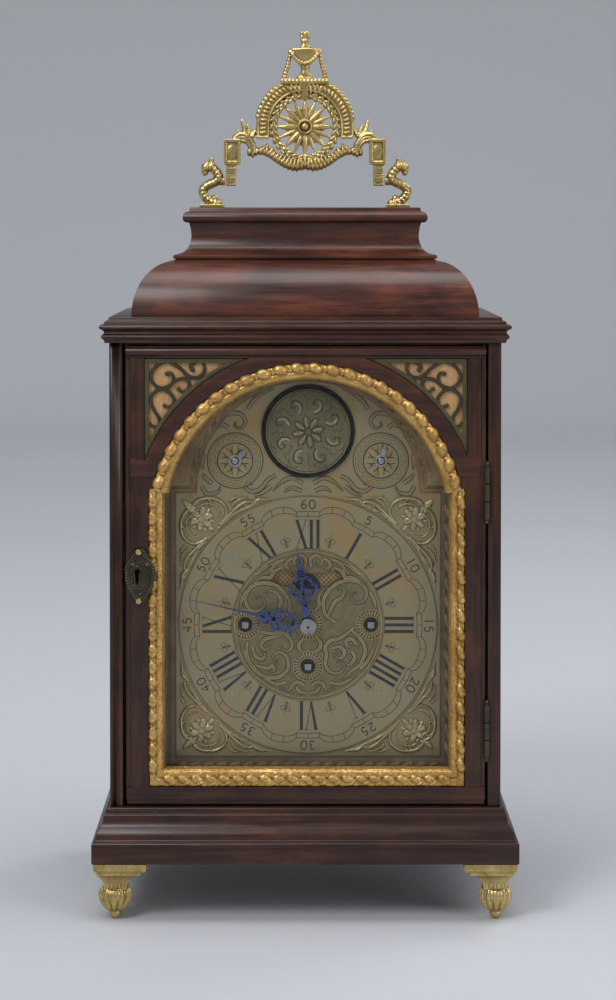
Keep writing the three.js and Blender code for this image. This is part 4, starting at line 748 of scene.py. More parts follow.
def build_mask():
    """A moulding with a plain band towards the glass and carved lobes along its outer half."""
    arch_scale, foot_scale = MASK_ARCH_BAND / MASK_BAND, MASK_BOTTOM_BAND / MASK_BAND
    inner = MASK_RADIUS - MASK_ARCH_BAND
    arch = on_door()
    start = math.degrees(math.asin((MASK_RISE - 1) / MASK_RADIUS))
    rings = []
    for across, up in arc(0, 0, 1, 180 - start, start, 60):
        rings.append([((inner + o * arch_scale) * across, y - 0.8, (inner + o * arch_scale) * up)
                      for o, y in MASK_SECTION])
    arch.skin(rings)
    for x, z, along in spaced(arc(0, 0, inner + 7.0 * arch_scale, 180 - start, start, 60), 10.7):
        arch.egg((x, 0.6, z), (5.0, 3.6, 3.5), along - 16, 12)
        u, v = polar(-4.6, along, x, z)
        arch.egg((u, 0.9, v), (1.5, 2.4, 2.7), along - 16)
    piece("mask_arch", arch, GILT, "front_door", ["gilt_mask"], fuse=0.42, soften=1,
          rough=(3.0, 0.12))

    sides = on_door()
    half = MASK_HALF - MASK_BAND
    foot = MASK_FOOT + MASK_BOTTOM_BAND
    corners = [(-1, MASK_RISE, 0), (-1, foot, -1), (1, foot, -1), (1, MASK_RISE, 0)]
    sides.skin([[(sign * (half + o), y, z + drop * o * foot_scale) for o, y in MASK_SECTION]
                for sign, z, drop in corners])
    for sign, pitch, rise in ((-1, 10.0, 2.3), (1, 11.8, 3.1)):
        line = [(sign * (half + 7.1), MASK_RISE - 1), (sign * (half + 7.1), foot - 6)]
        for x, z, along in spaced(line, pitch, 2):
            sides.egg((x, 1.0, z), (pitch * 0.47, rise, 2.6), along + 12, 14)
            sides.egg((x + sign * 0.5, 0.8, z - 1.8), (2.6, rise, 2.3), along + 30, -16)
    for x, z, along in spaced([(-half - 4, foot - 6.6), (half + 4, foot - 6.6)], 8.6, 3):
        sides.egg((x, 1.1, z), (4.0, 2.1, 2.7), along - 22, 12)
        sides.egg((x + 1.6, 1.2, z - 2.4), (2.3, 1.9, 1.7), along + 20)
    piece("mask_sides", sides, GILT, "front_door", ["gilt_mask"], fuse=0.42, soften=1,
          rough=(2.4, 0.28))
    finish_nodes(GLASS, "door_glass", "left_side_glass", "right_side_glass", "back_door_glass")


# The scrolls of a fret, in from its outer top corner and down.
FRET_LINES = [
    [(14.7, 1.8), (10.5, 3.2), (6.4, 6.2), (4.3, 10.7), (4.9, 14.4), (7.5, 17.3), (11.3, 18.6), (15.0, 17.7),
     (17.7, 14.6), (17.9, 11.1), (16.2, 9.0), (14.2, 9.7)],
    [(14.7, 1.8), (18.8, 4.1), (22.6, 6.5), (25.6, 9.6), (28.9, 11.7), (33.1, 11.8), (36.2, 9.6),
     (37.4, 5.8), (35.7, 2.0)],
    [(33.8, 1.9), (30.5, 3.2), (28.6, 5.6), (29.9, 7.4)],
    [(11.3, 18.6), (15.4, 17.1), (18.8, 14.4), (22.6, 12.7), (25.9, 13.1), (27.8, 16.1), (26.7, 19.3),
     (23.7, 20.8), (21.1, 18.8)],
    [(24.1, 7.8), (26.7, 11.4), (27.9, 15.9)],
    [(11.3, 19.0), (7.1, 20.5), (4.4, 24.1), (4.4, 28.0), (6.4, 32.5), (8.7, 36.2), (9.5, 40.0), (7.7, 42.4),
     (4.7, 41.7), (3.2, 39.4)],
    [(11.3, 19.1), (15.0, 20.8), (17.9, 24.1), (18.2, 28.0), (15.6, 30.2), (12.6, 29.1)],
]
FRET_BUDS = [(14.3, 9.6), (29.9, 7.2), (21.3, 18.9), (12.7, 29.2)]
FRET_BORDER = 2.6
FRET_FRONT = 1.0
LINING_FRONT = 2.9


def fret_outline(sign, inset):
    reach, top, radius = FRET_REACH[sign] - 0.3 - inset, FRET_TOP - 0.3 - inset, STRIP_RADIUS + 0.3 + inset
    start = math.degrees(math.asin(top / radius))
    end = math.degrees(math.acos(reach / radius))
    return flipped([(reach, top)] + arc(0, 0, radius, start, end, 24), sign)


def build_frets():
    """The two pierced corner pieces over the arch, each before its cloth."""
    for side, sign in (("left", -1), ("right", 1)):
        border = on_door()
        border.plate(fret_outline(sign, 0), FRET_FRONT, FRET_FRONT + 1.5, [fret_outline(sign, FRET_BORDER)])
        piece(f"{side}_fret_border", border, OLIVE, "front_door", [f"{side}_fret"], bevel=0.25)
        scrolls = on_door()
        for line in FRET_LINES:
            points = smooth([(sign * (FRET_REACH[sign] - u), FRET_TOP - v) for u, v in line], 5)
            scrolls.rod(points, lambda t: 1.12 - 0.25 * max(0, t - 0.7) / 0.3, 8, 0.7, FRET_FRONT + 0.9)
        for u, v in FRET_BUDS:
            scrolls.ball((sign * (FRET_REACH[sign] - u), FRET_FRONT + 0.9, FRET_TOP - v), 1.5, 0.55, 10)
        piece(f"{side}_fret_scrolls", scrolls, BRONZE, "front_door", [f"{side}_fret"])
        build_lining(side, sign)


def build_lining(side, sign):
    """A thin cloth across a fret's back, drawn into shallow upright puckers."""
    reach, top, radius = FRET_REACH[sign] - 0.6, FRET_TOP - 0.6, STRIP_RADIUS + 0.6
    crown = math.sqrt(radius ** 2 - top ** 2) + 0.1
    columns, rows = 120, 40
    grid = []
    for i in range(columns + 1):
        x = crown + (reach - crown) * i / columns
        low = math.sqrt(radius ** 2 - x ** 2)
        for j in range(rows + 1):
            z = low + (top - low) * j / rows
            fold = 0.12 * math.sin(2.1 * x + 0.5 * math.sin(0.35 * z))
            fold += 0.06 * noise.noise(Vector((x / 2, 0, z / 5)))
            grid.append(Vector((ARCH_X + sign * x, DOOR_FRONT + LINING_FRONT + 0.2 + fold, ARCH_Z + z)) * MM)
    step = rows + 1
    faces = [(i * step + j, (i + 1) * step + j, (i + 1) * step + j + 1, i * step + j + 1)
             for i in range(columns) for j in range(rows)]
    mesh = bpy.data.meshes.new(f"{side}_lining")
    mesh.from_pydata(grid, [], faces)
    mesh.materials.append(CLOTH)
    mesh.shade_smooth()
    lining = bpy.data.objects.new(f"{side}_lining", mesh)
    bpy.context.scene.collection.objects.link(lining)
    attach(lining, "front_door")
    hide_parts(f"{side}_fret_lining")


def build_escutcheon():
    """A cast shield round the keyhole, with a lobed edge and two rows of beads."""
    rim = 17.4
    share = [(0, 1), (0.10, 0.99), (0.17, 0.91), (0.29, 0.72), (0.42, 0.55), (0.53, 0.36), (0.54, 0),
             (0.46, -0.4), (0.29, -0.69), (0.14, -0.91), (0, -1)]
    shape = on_door()
    centre = (LOCK_X + 1.9, LOCK_Z)
    loop = share + [(-x, z) for x, z in reversed(share[1:-1])]

    def inset(factor):
        return [(centre[0] + x * rim * factor[0], centre[1] + z * rim * factor[1]) for x, z in loop]
    hole = keyhole(LOCK_X, LOCK_Z)
    wide = [(LOCK_X + (x - LOCK_X) * 1.5, LOCK_Z + 0.6 + (z - LOCK_Z) * 1.5) for x, z in hole]
    shape.plate(inset((0.93, 0.97)), -3.0, -0.1, [wide])
    edge = smooth(inset((0.78, 0.80)), 3, True)
    for points, radius, y in ((edge, 0.5, -3.2), (wide + wide[:1], 0.55, -3.3)):
        shape.rod(points + points[:1], radius, 8, 1.0, y)
    for x, z, along in spaced(smooth(inset((0.90, 0.945)), 3, True), 1.75):
        shape.egg((x, -2.9, z), (1.15, 1.0, 0.75), along + 62)
    for factor, pitch in (((0.60, 0.66), 1.25), ((0.44, 0.50), 1.1)):
        for x, z, along in spaced(smooth(inset(factor), 3, True), pitch):
            if math.dist((x, z), (LOCK_X, LOCK_Z)) > 2:
                shape.ball((x, -3.15, z), 0.5, 1.0, 6)
    for sign in (-1, 1):
        shape.ball((centre[0] + sign * 4.3, -3.2, centre[1] + 6.8), 1.5, 0.7, 8)
    piece("escutcheon", shape, BRONZE, "front_door", ["keyhole_escutcheon"], fuse=0.26)
    for index, z in enumerate((LOCK_Z + 15.0, LOCK_Z - 15.2)):
        place = (LOCK_X + 1.0, -3.6, z)
        add_screw(f"escutcheon_screw_{index + 1}", on_door(), place, 1.75, 80, CAST_BRASS, "front_door")
    keyway = on_door()
    keyway.box((LOCK_X - 4.5, 5.2, LOCK_Z - 6), (LOCK_X + 3.5, 6.2, LOCK_Z + 6))
    piece("keyway_shade", keyway, DARK, "front_door")


def add_screw(name, shape, centre, radius, angle, finish, body, rise=0.7):
    """A slotted screw head that faces the front."""
    x, y, z = centre
    slot_half = radius * 0.16
    for turn in (angle + 180, angle):
        a = math.radians(turn)
        half = [(u, max(v, slot_half)) for u, v in arc(0, 0, radius, 0, 180, 14)]
        rings = []
        for scale, level in ((0.9, 0.35), (1.0, 0.1), (1.0, -rise * 0.5), (0.86, -rise * 0.9), (0.6, -rise)):
            ring = [(u * scale, max(v * scale, slot_half)) for u, v in half]
            rings.append([(x + u * math.cos(a) - v * math.sin(a), y + level,
                           z + u * math.sin(a) + v * math.cos(a))
                          for u, v in ring])
        shape.skin(rings)
    shape.turned([(radius * 0.85, y + 0.5), (radius * 0.85, y - rise * 0.25)], (x, 0, z), "Y", 20)
    piece(name, shape, finish, body)


HINGE_AXIS = (111.95, -81.2)
HINGE_LEVELS = {"lower": 117.5, "upper": 265.0}
HINGE_HEIGHT = 32
KNUCKLE_GAP = 0.3
HINGE_ROLL = 1.7
HINGE_TIP = [(1.2, 0), (1.5, 0.5), (0.8, 1.0), (1.3, 1.9), (1.2, 2.6), (0.5, 3.2), (0.1, 3.4)]


def build_hinges():
    """Butt hinges: the case leaf has the outer two knuckles and turned tips, the door leaf the middle one."""
    x, y = HINGE_AXIS
    third = HINGE_HEIGHT / 3
    for level, middle in HINGE_LEVELS.items():
        low = middle - HINGE_HEIGHT / 2
        high = low + HINGE_HEIGHT
        spans = {"case": [(low, low + third - KNUCKLE_GAP), (low + 2 * third + KNUCKLE_GAP, high)],
                 "door": [(low + third, low + 2 * third)]}
        for leaf, body, sign in (("case", "case", 1), ("door", "front_door", -1)):
            shape = Shape()
            x0, x1 = sorted((x + sign * 0.1, x + sign * 0.7))
            shape.box((x0, y + 2.0, low), (x1, y + 11, high))
            for a, b in spans[leaf]:
                shape.box((x0, y, a), (x1, y + 2.4, b))
                shape.turned([(1.2, a), (HINGE_ROLL, a + 0.3), (HINGE_ROLL, b - 0.3), (1.2, b)], (x, y, 0),
                             "Z", 20)
            for end, way in ((low, -1), (high, 1)) if leaf == "case" else ():
                shape.turned([(r, way * h + end) for r, h in HINGE_TIP], (x, y, 0), "Z", 16)
            piece(f"{level}_hinge_{leaf}", shape, BRONZE, body, [f"{level}_hinge_{leaf}_leaf"])


def build_dial_mask():
    """The board around the dial, with a moulded slope down to it."""
    def outline(margin):
        return break_arch(DIAL_HALF + margin, -2 * DIAL_HALF - margin, margin, DIAL_ARCH_RADIUS + margin)
    shape = Shape()
    shape.at = Matrix.Translation((DIAL_X, 0, SHOULDER_Z))
    front, back = board_low.y, board_high.y
    rect = [(board_low.x - DIAL_X, board_low.z - SHOULDER_Z),
            (board_high.x - DIAL_X, board_low.z - SHOULDER_Z),
            (board_high.x - DIAL_X, board_high.z - SHOULDER_Z),
            (board_low.x - DIAL_X, board_high.z - SHOULDER_Z)]
    shape.plate(rect, front, back, [outline(8.4)])
    depth = back - front
    section = [(9, 0.02), (8.5, 0), (7.9, 0.1), (7.4, 0.9), (6.2, 1.2), (4.8, 2.3), (3.2, 4.6), (2.2, 5.4),
               (1.3, 5.7), (0.7, 6.4), (0.4, 7.2), (-0.5, 7.35), (-0.5, 7.7), (0.5, 7.75),
               (0.5, depth - 0.02), (9, depth - 0.02)]
    shape.skin([[(x, front + y, z) for x, z in outline(margin)] for margin, y in section], loop=True)
    piece("dial_surround", shape, DULL_GILT, "case", ["dial_mask"])
    carving = Shape()
    carving.at = Matrix.Translation((DIAL_X, front, SHOULDER_Z))
    half, foot = DIAL_HALF + 4.4, -2 * DIAL_HALF - 4.4
    lines = [([(-half, foot), (half, foot)], 8.4), ([(half, foot), (half, -2)], 11.8),
             (arc(0, 0, DIAL_ARCH_RADIUS + 4.4, 176, 4, 40), 10.0)]
    for line, pitch in lines:
        for x, z, along in spaced(line, pitch, 4):
            carving.egg((x, 3.5, z), (pitch * 0.44, 1.5, 1.9), along + 16, 8)
    piece("dial_surround_carving", carving, DULL_GILT, "case", fuse=0.5, soften=1,
          rough=(2.0, 0.35))


# ---- Chapter ring ----

NUMERALS = ["XII", "I", "II", "III", "IIII", "V", "VI", "VII", "VIII", "IX", "X", "XI"]
NUMERAL_LOW, NUMERAL_HIGH = 48.4, 66.2
ADVANCE = {"I": 4.15, "V": 8.3, "X": 8.3}
# Each letter's strokes from its left edge: x at the top and foot, half width at the top and foot.
LETTERS = {
    "I": [(2.075, 2.075, 0.98, 0.98)],
    "V": [(1.2, 4.3, 1.0, 0.65), (7.2, 4.3, 0.22, 0.22)],
    "X": [(1.3, 7.0, 0.95, 0.95), (7.0, 1.3, 0.22, 0.22)],
}
SERIF_REACH = 1.7
BAND_RISES = {68.5: 3.6, 71.6: 4.6}
BAND_LINE = 0.2
MARK_LINE = 0.17
RING_CIRCLES = (81.0, 48.1)
FIGURE_Z, FIGURE_HALF, FIGURE_RISE, FIGURE_PITCH = 76.0, 1.9, 2.7, 5.2
FIGURES = {
    "0": [arc(0, 0, 1, 90, 450, 20)],
    "1": [[(-0.25, 0.7), (0.1, 1), (0.1, -1)]],
    "2": [[(-0.75, 0.45), (-0.6, 0.85), (0, 1), (0.6, 0.8), (0.7, 0.4), (0.2, -0.2), (-0.8, -0.95)],
          [(-0.8, -0.95), (0.85, -0.95)]],
    "3": [[(-0.7, 0.75), (0, 1), (0.6, 0.7), (0.5, 0.25), (0, 0.1), (0.65, -0.15), (0.7, -0.65), (0, -1),
           (-0.75, -0.75)]],
    "4": [[(0.45, -1), (0.45, 1), (-0.85, -0.35)], [(-0.85, -0.35), (0.9, -0.35)]],
    "5": [[(0.65, 0.95), (-0.45, 0.95)],
          [(-0.45, 0.95), (-0.6, 0.15), (0.1, 0.25), (0.7, -0.1), (0.7, -0.6), (0.1, -1), (-0.75, -0.8)]],
    "6": [smooth([(0.55, 0.9), (-0.2, 0.75), (-0.75, 0), (-0.6, -0.75), (0, -1), (0.65, -0.7),
                  (0.65, -0.15), (0, 0.1), (-0.65, -0.2)], 3)],
}


def on_dial(angle=0.0, x=DIAL_X, z=DIAL_Z):
    """Local x across and local z outward, along a clock angle about a point of the dial."""
    return Matrix.Translation((x, 0, z)) @ Matrix.Rotation(math.radians(angle), 4, "Y")


def engrave_numeral(ink, text, front):
    left = -sum(ADVANCE[letter] for letter in text) / 2
    for letter in text:
        for top, foot, wide, narrow in LETTERS[letter]:
            line = [(left + top, NUMERAL_HIGH), (left + foot, NUMERAL_LOW)]
            ink.stroke(line, lambda t: wide + (narrow - wide) * t, front)
            for x, z in line[:1] if letter == "V" else line:
                ink.stroke([(x - SERIF_REACH, z), (x + SERIF_REACH, z)], MARK_LINE, front)
        left += ADVANCE[letter]


def engrave_hour(ink, hour, front):
    """One hour of the minute band: a straight box, a bulging arch up to the next, divisions and figures."""
    ink.at = on_dial(30 * hour)
    for radius, rise in BAND_RISES.items():
        ink.stroke(arc(0, 0, radius, 84, 96, 6), BAND_LINE, front)
        bulge = []
        for i in range(17):
            swell = max(math.sin(math.pi * i / 16), 0) ** 0.55
            bulge.append(polar(radius + rise * swell, 84 - 18 * i / 16))
        ink.stroke(bulge, BAND_LINE, front)
    figures = str(5 * hour or 60)
    for i, figure in enumerate(figures):
        across = FIGURE_PITCH * (i - (len(figures) - 1) / 2)
        for line in FIGURES[figure]:
            fine = smooth(line, 3) if len(line) > 3 else line
            ink.stroke([(across + FIGURE_HALF * u, FIGURE_Z + FIGURE_RISE * v) for u, v in fine], 0.36, front)
    for minute in range(-1, 4):
        ink.at = on_dial(30 * hour + 6 * minute)
        low, high = (68.5, 71.6) if minute < 2 else (72.1, 75.8)
        ink.stroke([(0, low), (0, high)], 0.18, front)


def engrave_half_hour(ink, hour, front):
    """A lily between two hours: a stem, two loops and two bars."""
    ink.at = on_dial(30 * hour + 15)
    ink.stroke([(0, 50), (0, 60.4)], lambda t: 0.28 * (1 - t) + 0.04, front)
    for across in (-1.7, 1.7):
        ink.stroke(arc(across, 54.6, 1.4, 0, 360, 12), MARK_LINE, front)
    for reach, z in ((1.7, 51.3), (1.2, 52.5)):
        ink.stroke([(-reach, z), (reach, z)], MARK_LINE, front)


def build_chapter_ring():
    front, back = RING_FRONT, DIAL_FRONT
    ring = Shape()
    ring.hoop([(RING_INNER, back), (RING_INNER, front + 0.35), (RING_INNER + 0.3, front + 0.06),
               (RING_OUTER - 0.3, front + 0.06), (RING_OUTER, front + 0.3), (RING_OUTER, back)], DIAL_X,
              DIAL_Z, 144)
    piece("chapter_ring_plate", ring, DIAL_BRASS, "case", ["chapter_ring"])
    ink = Shape()
    for hour, text in enumerate(NUMERALS):
        ink.at = on_dial(30 * hour)
        engrave_numeral(ink, text, front)
        engrave_hour(ink, hour, front)
        engrave_half_hour(ink, hour, front)
    ink.at = on_dial()
    for radius in RING_CIRCLES:
        ink.stroke(arc(0, 0, radius, 0, 360, 120), 0.12, front)
    piece("chapter_ring_engraving", ink, ENGRAVED, "case")
    rivets = Shape()
    for angle in (45, 135, 225, 315):
        rivets.at = on_dial(angle)
        rivets.ball((0, front + 0.1, 62.2), 1.3, 0.35, 8)
    piece("chapter_ring_rivets", rivets, STEEL, "case")


# ---- Engraved centre of the dial, its lines about the dial's centre ----

SLOT_PIVOT_Z = 260.95
DISC_RADIUS = 45.7
DISC_SCROLLS = [
    [(-12.0, 8.3), (-11.6, 14), (-15.5, 21), (-21, 25), (-28.8, 26.3), (-35.5, 24), (-39.2, 18), (-38.4, 12),
     (-34, 8.6), (-29.2, 9.6), (-27.2, 13.4), (-29, 17), (-32, 17.4), (-33, 15)],
    [(17.2, 1.5), (11.6, 5.4), (9.6, 11), (10.2, 17), (14.5, 23), (20.5, 26.8), (27.5, 28), (34, 25.5),
     (37, 20.2), (35, 15.2), (30.4, 13.8), (27.4, 16.6), (28.6, 20), (31.4, 19.4)],
    [(12, 4.5), (14.5, 10), (17, 14.5), (21, 17), (23, 21.5), (20.4, 23.2), (18.6, 21.2)],
    [(-13.5, 3.5), (-18, 9), (-17, 15), (-20, 20), (-25, 21.5), (-26.5, 19)],
    [(-29.5, -4.5), (-24, -5.5), (-17, -5), (-12, -8), (-10, -13), (-12, -16.5), (-16, -16), (-16.5, -13)],
    [(-13, -5.5), (-20, -7.5), (-26.5, -9), (-29.5, -13), (-27, -16), (-24, -14), (-25, -12)],
    [(-38, -11), (-38.5, -18), (-35, -27), (-27, -33), (-18, -33), (-12.6, -27.6), (-13.4, -20.5),
     (-18, -17.5), (-22, -20), (-20.4, -23.5), (-18.4, -22)],
    [(-35, -14), (-33, -20), (-28.8, -21.8), (-27, -18.6), (-29.6, -17)],
    [(-32, -26), (-26, -27.6), (-22.5, -26), (-21.5, -29), (-25, -30.5)],
    [(28.5, -2), (24, -6), (19, -9), (14.2, -10), (11, -14), (11.6, -19), (11, -25), (14, -30), (19.5, -30.6),
     (23, -27), (21, -23), (17.5, -24)],
    [(27.5, -3.5), (33.8, -10), (36, -17), (33, -25), (27, -29.5), (24, -33), (19, -34.6)],
    [(31, -13), (27.5, -9), (24, -10.5), (25, -14), (28, -13.6)],
    [(15.5, -15), (20, -14), (23, -17.5), (21, -21), (17.5, -20.4), (17.8, -18)],
    [(27.6, -17), (29.5, -21), (26, -25.5), (23.4, -24)],
    [(4, 9), (7, 12), (6.5, 17), (8.5, 21), (12, 23)],
    [(5.5, -8), (8, -12), (6.5, -16), (3, -17), (2.6, -14)],
    [(-3, -9), (-6, -13), (-4, -17), (-1, -16.4)],
]
# Drawn on both sides of the upright middle line.
DISC_PAIRS = [
    [(2.5, -38.5), (6, -36.4), (9.4, -37.6), (12, -41.4), (17.5, -39.6)],
    [(1.5, -43.4), (5, -42.6), (7, -39.8), (4.6, -38.4)],
    [(14, -36.5), (19.5, -37.6), (26, -35), (30, -31.4)],
    [(33, -28), (37.5, -23), (40.5, -17), (42.6, -11)],
    [(2, 36.4), (1.6, 41.2), (5, 43.6), (8.6, 41.4), (8.2, 38.2), (5.4, 38), (5.2, 40)],
    [(10, 42), (14, 38.4), (12, 35.4), (9.6, 36.8)],
    [(15, 41), (20.5, 38.4), (24, 33.4), (28, 31.6)],
    [(17, 35.8), (21.5, 33.4), (23.6, 29.6), (28, 29.8), (32.6, 27.5), (36.5, 22.6)],
    [(39, 21), (41.8, 15), (42.8, 9.6)],
    [(33, 31.5), (27.5, 35.6), (22, 38.8)],
]


def foliage(gold, ink, points, half, front):
    """An engraved ribbon of leaf: its raised face with a dark edge and a dark vein."""
    line = smooth(points, 5)

    def edge(t):
        return half * (0.16 + 0.84 * math.sin(math.pi * min(1, 0.12 + 0.88 * t) ** 0.8)) + 0.32
    ink.stroke(line, edge, front + 0.24, 0.1)
    gold.leaf(line, half, 0.30, front + 0.30, 0, 0.6, 0.16)
    ink.stroke(line[2:-2], 0.11, front - 0.02, 0.1)


def build_disc_ground():
    slot = arc(DIAL_X, SLOT_PIVOT_Z, 60.4, 246.7, 293.3, 20) + arc(DIAL_X, SLOT_PIVOT_Z, 50.1, 290, 250, 16)
    holes = [circle(x, z, WINDING_HOLE, 24) for x, z in WINDING]
    ground = Shape()
    ground.plate(circle(DIAL_X, DIAL_Z, DISC_RADIUS, 96), DIAL_FRONT - 0.14, DIAL_FRONT + 0.02,
                 [slot, circle(DIAL_X, DIAL_Z, 5.0, 24), *holes])
    piece("dial_disc_ground", ground, DISC_BRASS, "case")
    # Black rings in the winding holes round the arbors: painted shade of the holes' dark insides.
    hole_shades = Shape()
    for x, z in WINDING:
        hole_shades.plate(circle(x, z, 4.6, 32), DIAL_FRONT - 0.5, DIAL_FRONT + 0.3, [circle(x, z, 2.95, 24)])
    piece("winding_hole_shade_rings", hole_shades, DARK, "case")


def build_disc_engraving():
    front = DIAL_FRONT
    gold, ink = Shape(), Shape()
    gold.at = ink.at = on_dial()
    for line in DISC_SCROLLS:
        foliage(gold, ink, line, 1.35, front - 0.44)
    for line in DISC_PAIRS:
        for sign in (-1, 1):
            foliage(gold, ink, flipped(line, sign), 1.25, front - 0.44)
    for x, z in [(0, 0), *[(wx - DIAL_X, wz - DIAL_Z) for wx, wz in WINDING]]:
        ink.stroke(arc(x, z, 7.3, 0, 360, 40), 1.75, front - 0.18, 0.06)
        for angle in spread(26):
            u, v = polar(7.4, angle, x, z)
            gold.egg((u, front - 0.22, v), (1.55, 0.26, 0.68), angle)
        for radius in (5.5, 9.3):
            gold.rod(arc(x, z, radius, 0, 360, 40), 0.32, 6, 0.7, front - 0.2)
    gold.rod(arc(0, 0, 46.4, 0, 360, 120), 0.62, 8, 0.8, front - 0.25)
    piece("dial_disc_scrolls", gold, DISC_BRASS_BRIGHT, "case")
    piece("dial_disc_lines", ink, ENGRAVED, "case")


def build_slot_backing():
    """A netted ground behind the disc that swings in the slot."""
    behind = node_box("verge_arbor")[0].y + 1.1
    backing = Shape()
    backing.plate(arc(DIAL_X, SLOT_PIVOT_Z, 62, 246, 294, 20) + arc(DIAL_X, SLOT_PIVOT_Z, 48.6, 292, 248, 16),
                  behind, behind + 0.16)
    piece("slot_backing", backing, AMBER, "case")
    net = Shape()
    for i in range(-12, 13):
        for lean in (-7, 7):
            x = DIAL_X + i * 2.9
            line = [(x - lean, SLOT_PIVOT_Z - 62), (x + lean, SLOT_PIVOT_Z - 47.6)]
            net.stroke(line, 0.16, behind - 0.05, 0.1)
    piece("slot_backing_lines", net, ENGRAVED, "case")


# ---- Corner castings ----

# One leg, in from the dial plate's corner along its edge and across, with each line's half width.
LEG = [
    ([(8.5, 8.5), (11, 4), (17, 1.9), (23.5, 2.2), (28.5, 5.4), (30.3, 10), (28.6, 14.6), (25, 18.2)], 1.69),
    ([(11.8, 9.4), (15, 5.8), (20, 5.2), (24.4, 7.2), (26.0, 11), (24.4, 15)], 1.04),
    ([(26.4, 18), (30, 14.4), (34, 10.4), (38.5, 6.2), (43, 4), (46.4, 4.4), (46.6, 6), (45, 5.9)], 1.625),
    ([(29, 17.0), (33.4, 12.8), (38, 9.6), (42.5, 7.6)], 0.91),
    ([(33, 7), (36.5, 3.4), (41, 1.6), (45, 1.9)], 1.04),
    ([(47.5, 4.4), (50.5, 2.6), (54.5, 2.4), (57.6, 1.7)], 1.755),
    ([(6, 11), (2.4, 14), (1.8, 18), (4.4, 20.6), (7.4, 19)], 1.17),
    ([(31.5, 4), (35, 1.6), (38.4, 1.4)], 1.04),
]
CORNER = 81.55
CORNER_SEAT = DIAL_FRONT - 0.4
# Leaves on the diagonal: place, half length, half width and lean.
CORNER_LEAVES = [(6.0, 4.8, 2.0, 0), (7.6, 3.8, 1.5, 34), (7.6, 3.8, 1.5, -34), (20.6, 2.6, 1.5, 0)]
FLOWER = CORNER - 14.6
LEAF_STEP = math.degrees(0.5)


def build_spandrel(name, sx, sz):
    shape = Shape()
    shape.at = on_dial()
    seat = CORNER_SEAT
    rim = arc(0, 0, 83.3, 46, 74, 24)
    for swap in (False, True):
        def put(points):
            return [(sx * (v if swap else u), sz * (u if swap else v)) for u, v in points]
        for line, half in LEG:
            points = put([(CORNER - u, CORNER - v) for u, v in line])
            shape.leaf(smooth(points, 4), half, 1.6, seat, 0, 0.35, 0.4)
        shape.rod(put(rim), 0.62, 8, 0.9, seat - 0.4)
    slant = math.degrees(math.atan2(sz, sx))
    for inset, long, wide, lean in CORNER_LEAVES:
        place = (sx * (CORNER - inset), seat - 0.3, sz * (CORNER - inset))
        shape.egg(place, (long, 1.0, wide), slant + lean)
    x, z = sx * FLOWER, sz * FLOWER
    for angle in spread(6, 20):
        u, v = polar(4.4, angle, x, z)
        shape.egg((u, seat - 0.6, v), (3.5, 1.0, 2.2), angle)
        u, v = polar(6.6, angle + LEAF_STEP, x, z)
        shape.egg((u, seat - 0.2, v), (2.2, 0.8, 1.2), angle + 28)
    shape.ball((x, seat - 0.9, z), 2.3, 0.35, 8)
    piece(f"{name}_casting", shape, PALE_GILT, "case", [name], fuse=0.36)
    screw = Shape()
    screw.at = on_dial()
    place = (x, DIAL_FRONT - 1.65, z)
    add_screw(f"{name}_screw", screw, place, 1.15, 30 + 50 * sx + 20 * sz, STEEL, "case", rise=0.4)


def build_spandrels():
    for vertical, sz in (("upper", 1), ("lower", -1)):
        for horizontal, sx in (("left", -1), ("right", 1)):
            build_spandrel(f"{vertical}_{horizontal}_spandrel", sx, sz)


# ---- Boss, sub-dials and engraving of the arch ----

BOSS_DOME = [(0, -4.8), (8, -4.6), (15, -3.9), (21, -2.9), (26.6, -1.6)]
BOSS_RIM = [(26.8, 0), (26.8, -1.5), (27.2, -2.2), (27.7, -1.9), (28.1, -2.5), (28.6, -2.75), (29.1, -2.4),
            (29.4, -1.6), (29.4, 0)]
# One eighth of the boss's engraving: dark lines and their half widths, then bright ones.
BOSS_LINES = [
    ([(2, 0), (5, 1.9), (8, 2.1), (10.6, 0)], 0.3), ([(2, 0), (5, -1.9), (8, -2.1), (10.6, 0)], 0.3),
    ([(11, 3), (14, 1), (18, 1.4), (20.6, 4.6), (19, 7.6), (16, 7), (16.4, 4.8)], 0.36),
    ([(21, 0), (23.4, 2), (24, 5), (22, 7.6)], 0.2),
    ([(13.2, -3), (16, -2), (19.6, -3.4), (22.4, -1.4)], 0.18),
]
BOSS_LEAVES = [([(3, 0), (6, 0.3), (9, 0)], 0.5), ([(12, 3.6), (15, 2.2), (18, 3), (19, 5)], 0.75)]


def boss_face(radius):
    for (r0, y0), (r1, y1) in zip(BOSS_DOME, BOSS_DOME[1:]):
        if radius <= r1:
            return DIAL_FRONT + y0 + (y1 - y0) * (radius - r0) / (r1 - r0)
    return DIAL_FRONT + BOSS_DOME[-1][1]


